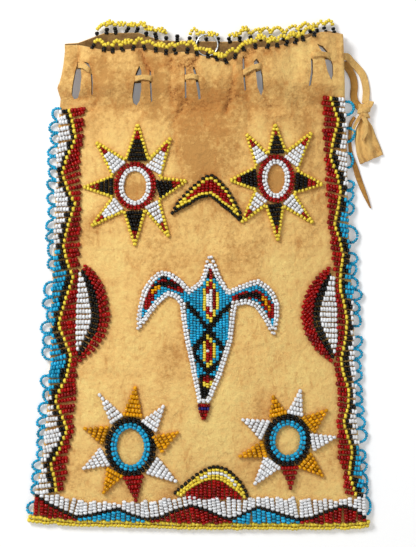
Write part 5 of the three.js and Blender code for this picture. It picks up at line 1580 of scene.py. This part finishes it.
class BAG_OT_figure(bpy.types.Operator):
    """Sews the winged figure: white outline, blue field, black lattice, lozenges and tip"""

    bl_idname = "bag.figure"
    bl_label = "Winged figure"

    def execute(self, context):
        outline = Beadwork("ring", "figure outline")
        outline.lanes(FIGURE_OUTLINE, "white", closed=True, count=2)
        outline.string_up("figure_outline", {"white": ("figure_outline",)})
        work = Beadwork("figure", "figure")
        inner = [(bx, by) for _, _, bx, by in FIGURE_OUTLINE]
        left, right = min(x for x, _ in inner), max(x for x, _ in inner)
        columns = round((right - left) / work.sort.step)
        for i in range(columns):
            x = mix(left, right, (i + 0.5) / columns)
            for low, high in self.spans(inner, x):
                if high - low > 0.8:
                    work.row((x, low), (x, high), lambda i, count, x, y: self.colour(x, y))
        work.lanes(FIGURE_TIP, lambda i, count, x, y: "navy" if FIGURE_NAVY[0] < y < FIGURE_NAVY[1] else "red")
        work.string_up("figure", {
            "blue": ("figure_wings", "figure_flank_left", "figure_flank_right"),
            "black": ("figure_lattice",), "red": ("figure_tip",)})
        return {"FINISHED"}

    def spans(self, outline, x):
        """Stretches of y inside a closed outline at x."""
        cuts = []
        for (ax, ay), (bx, by) in zip(outline, [*outline[1:], outline[0]]):
            if (ax > x) != (bx > x):
                cuts.append(mix(ay, by, (x - ax) / (bx - ax)))
        cuts.sort()
        return list(zip(cuts[::2], cuts[1::2]))

    def colour(self, x, y):
        for number, (cx, cy, half, tall) in enumerate(FIGURE_LOZENGES):
            inside = half * (1 - ((y - cy) / tall) ** 2) - abs(x - cx)
            if inside > -0.75 and abs(y - cy) < tall + 0.6:
                if number == 2:
                    return "red" if y > cy else "yellow"
                if inside < 0.95:
                    return "yellow"
                return "white" if inside > (2.2, 2.4)[number] and abs(y - cy) < (7, 1.2)[number] else "red"
        if any(math.dist(spot, (x, y)) < STRIPE for spot in FIGURE_AMBER):
            return "amber"
        for wing in FIGURE_WINGS:
            if away_from(wing, x, y) < WING:
                return "black" if away_from(wing[1:6], x, y) < STRIPE else "red"
        middle, half, top = FIGURE_FOOT
        if any(away_from(line, x, y) < STRIPE for line in FIGURE_LATTICE) or y < top and abs(x - middle) < half:
            return "black"
        middle, half, bottom = FIGURE_HEAD
        if y > bottom:
            return "red" if abs(x - middle) < half else "black"
        return "blue"


class BAG_OT_chevron_and_mound(bpy.types.Operator):
    """Sews the chevron above the figure and the mound at the foot"""

    bl_idname = "bag.chevron_and_mound"
    bl_label = "Chevron and mound"

    def execute(self, context):
        chevron = Beadwork("star", "chevron")

        def chevron_colour(i, count, x, y):
            from_end = min(i, count - 1 - i)
            return "black" if from_end == 0 else "yellow" if from_end == 1 else "red"

        chevron.lanes(CHEVRON, chevron_colour)
        chevron.string_up("chevron", {"black": ("chevron_outline",), "red": ("chevron_field",)})

        mound = Beadwork("star", "mound")

        def arc_colour(i, count, x, y):
            if i == 0:
                return "black"
            return "white" if i == 2 and MOUND_WHITE[0] < x < MOUND_WHITE[1] else "yellow"

        mound.lanes(MOUND, arc_colour)
        inner = [(bx, by) for _, _, bx, by in MOUND[1:-1]]
        left, right = inner[0][0], inner[-1][0]
        columns = round((right - left) / mound.sort.step)
        for i in range(columns + 1):
            x = mix(left, right, i / columns)
            top, bottom = along(inner, x) - 0.3, along(FOOT_WAVE, x, 2) + 0.3
            if top - bottom > 0.6:
                mound.row((x, bottom), (x, top), "red")
        mound.string_up("mound", {c: (f"mound_{c}",) for c in ("black", "yellow", "red")})
        return {"FINISHED"}


class BAG_OT_side_edging(bpy.types.Operator):
    """Threads the loops of small blue beads along both sides"""

    bl_idname = "bag.side_edging"
    bl_label = "Side edging"

    def execute(self, context):
        for side in SIDES:
            work = Beadwork("loop", f"{side.name} loops")
            for (top, reach), (bottom, _) in zip(side.loops, side.loops[1:]):
                if reach is not None:
                    self.loop(work, top, bottom, reach, side)
            work.string_up(f"side_edging_{side.name}", {"blue": (f"side_edging_{side.name}",)})
        return {"FINISHED"}

    def loop(self, work, top, bottom, reach, side):
        """One loop, from the rim of the hide out and back to it."""
        line = []
        skew, pinch = work.chance.gauss(0, 0.9), work.chance.uniform(0.45, 0.8)
        far = reach + side.out * (work.chance.gauss(0.2, 0.4) - work.sort.diameter / 2)
        steps = 24
        for i in range(steps + 1):
            turn = math.pi * i / steps
            y = mix(top - 0.4, bottom + 0.4, (1 - math.cos(turn)) / 2) + skew * math.sin(turn)
            near = along(side.edge, y) - side.out * 0.8
            bulge = math.sin(turn) ** pinch if 0 < i < steps else 0.0
            line.append((mix(near, far, bulge), y, mix(3.1, 1.7, bulge)))
        work.thread(line, "blue")


FRONT_ARCH, BACK_ARCH = (2.4, 2.6), (3.2, 2.7)      # height of a stem, and of an arch over it
DOUBLED = 0.55                  # share of the arches with a second row under them


class BAG_OT_rims(bpy.types.Operator):
    """Threads the scalloped edging of both mouth edges and the double row along the foot"""

    bl_idname = "bag.rims"
    bl_label = "Mouth and foot edging"

    def execute(self, context):
        self.mouth("front", FRONT_STEMS, FRONT_MOUTH, *FRONT_ARCH, lambda x, y: hide_face(x, y) - HIDE / 2)
        self.mouth("back", BACK_STEMS, BACK_MOUTH, *BACK_ARCH, lambda x, y: back_under(y) + HIDE / 2)
        work = Beadwork("foot", "foot edging")
        left, right = FOOT_EDGE[0][0] - 1.5, FOOT_EDGE[-1][0] + 0.5
        columns = round((right - left) / work.sort.step)
        for i in range(columns + 1):
            x = mix(left, right, i / columns)
            edge = along(FOOT_EDGE, x) + 0.9 * waves(x, 0, 5, 1, 3)
            lean = 0.5 + 0.3 * math.sin(i * 1.7)
            for k, height in ((0, 3.2), (1, 2.3)):
                y = edge + 0.3 - (k + 0.3) * work.sort.pitch
                work.put("yellow", (x + lean * (0.5 - k), y, height), (lean, -1.6, -0.8 * k - 0.1))
        work.string_up("foot_edging", {"yellow": ("foot_edging",)})
        return {"FINISHED"}

    def mouth(self, name, stems, line, stem, rise, level):
        """Arches of yellow beads from stem to stem of black ones. No arch stands where the rim is bare."""
        arches, posts = Beadwork("rim", f"{name} mouth"), Beadwork("stem", f"{name} stems")
        tops = []
        for x in stems:
            foot = along(line, x)
            z = level(x, foot)
            lean = posts.chance.gauss(0, 0.7)
            high = stem * (1 + posts.chance.gauss(0, 0.14))
            tops.append((x + lean, foot + high, z))
            posts.thread([(x, foot - 0.9, z + 0.9), (x, foot, z + 0.6), (x + lean, foot + high, z + 0.2)], "black")
        for a, b in zip(tops, tops[1:]):
            if name == "back" and any(low < (a[0] + b[0]) / 2 < high for low, high in BACK_BARE):
                continue
            high = rise * (1 + arches.chance.gauss(0, 0.3))
            skew = arches.chance.gauss(0, 0.7)
            arch = []
            for i in range(13):
                t = i / 12
                swell = math.sin(math.pi * t) ** 0.7 if 0 < i < 12 else 0.0
                x, y, z = (mix(p, q, t) for p, q in zip(a, b))
                arch.append((x + skew * swell, y + 0.7 + high * swell, z + 0.5 + 0.5 * swell))
            arches.thread(arch, "yellow")
            if arches.chance.random() < DOUBLED:
                arches.thread([(x, y - 1.5, z + 0.9) for x, y, z in arch[3:10]], "yellow")
        arches.string_up(f"mouth_edging_{name}_arches", {"yellow": (f"mouth_edging_{name}",)})
        posts.string_up(f"mouth_edging_{name}_stems", {})


# Half the reach of a seam stitch over the rim, half its height and half the width of its thread, in metres
STITCH = {"Reach": 0.0011, "Height": 0.0018, "Thread": 0.0003}


class BAG_OT_seams(bpy.types.Operator):
    """Whips the side seams together with thread"""

    bl_idname = "bag.seams"
    bl_label = "Seam stitches"

    def execute(self, context):
        step = context.scene.bag_hide.stitch / MM
        points, ways = [], []
        for side in SIDES:
            low = along(FOOT_EDGE, along(side.edge, -146)) + 4
            for i in range(int((NECK_LOW - low) / step)):
                y = low + i * step
                points.append((along(side.edge, y) * MM, y * MM, (HIDE + 0.15) * MM))
                ways.append((side.out, 0, 0))
        mesh = grown(
            "seam_stitches", points, [("way", "FLOAT_VECTOR", ways)], self.stitch_tree(),
            {**STITCH, "Sinew": material("thread")})
        finish_piece("seam_stitches", mesh, None)
        return {"FINISHED"}

    def stitch_tree(self):
        """Geometry nodes that set a whip stitch, an arc of thread round the rim, on every point."""
        tree, given = new_tree("whip_stitches", ("Reach", "Height", "Thread"), {}, "Sinew")
        down = node(tree, "ShaderNodeMath", MULTIPLY, i0=given["Height"], i1=-1.0)
        far = node(tree, "ShaderNodeMath", MULTIPLY, i0=given["Reach"], i1=2.0)
        back = node(tree, "ShaderNodeMath", MULTIPLY, i0=given["Reach"], i1=-1.2)
        start = node(tree, "ShaderNodeCombineXYZ", X=back, Y=-0.0004, Z=given["Height"])
        middle = node(tree, "ShaderNodeCombineXYZ", X=far, Y=0.0, Z=0.0)
        end = node(tree, "ShaderNodeCombineXYZ", X=back, Y=0.0004, Z=down)
        arc = node(tree, "GeometryNodeCurveQuadraticBezier", Resolution=7, Start=start, Middle=middle, End=end)
        ply = node(tree, "GeometryNodeCurvePrimitiveCircle", Resolution=5, Radius=given["Thread"])
        body = node(tree, "GeometryNodeCurveToMesh", Curve=arc, Profile_Curve=ply, Fill_Caps=True)
        way = node(tree, "GeometryNodeInputNamedAttribute", {"data_type": "FLOAT_VECTOR"}, Name="way")
        turn = node(tree, "FunctionNodeAlignRotationToVector", {"axis": "X", "pivot_axis": "Z"}, Vector=way)
        set_on = node(
            tree, "GeometryNodeInstanceOnPoints", Points=given["Geometry"], Instance=body, Rotation=turn)
        end_tree(tree, set_on, given["Sinew"])
        return tree


class BAG_PT_panel(bpy.types.Panel):
    bl_idname = "BAG_PT_panel"
    bl_label = "Beaded bag"
    bl_space_type = "VIEW_3D"
    bl_region_type = "UI"
    bl_category = "Bag"

    def draw(self, context):
        for name in GROUPS:
            sizes = getattr(context.scene, name)
            box = self.layout.box()
            for prop in sizes.bl_rna.properties.keys():
                if prop not in ("rna_type", "name"):
                    box.prop(sizes, prop)
        for operator in OPERATORS:
            self.layout.operator(operator.bl_idname)


GROUPS = {
    "bag_colours": BagColours, "bag_hide": HideSizes, "bag_beads": BeadSizes, "bag_thong": ThongSizes,
    "bag_studio": StudioSizes,
}
OPERATORS = (
    BAG_OT_stage, BAG_OT_strands, BAG_OT_bands, BAG_OT_foot_band, BAG_OT_half_moons, BAG_OT_stars, BAG_OT_figure,
    BAG_OT_chevron_and_mound, BAG_OT_side_edging, BAG_OT_rims, BAG_OT_hide, BAG_OT_thong, BAG_OT_ring, BAG_OT_seams,
)


def register():
    for name, group in GROUPS.items():
        bpy.utils.register_class(group)
        setattr(bpy.types.Scene, name, bpy.props.PointerProperty(type=group))
    for cls in (*OPERATORS, BAG_PT_panel):
        bpy.utils.register_class(cls)


def unregister():
    for cls in reversed((*OPERATORS, BAG_PT_panel)):
        bpy.utils.unregister_class(cls)
    for name, group in GROUPS.items():
        delattr(bpy.types.Scene, name)
        bpy.utils.unregister_class(group)


def main():
    register()
    for operator in OPERATORS:
        family, name = operator.bl_idname.split(".")
        getattr(getattr(bpy.ops, family), name)()


if __name__ == "__main__":
    main()
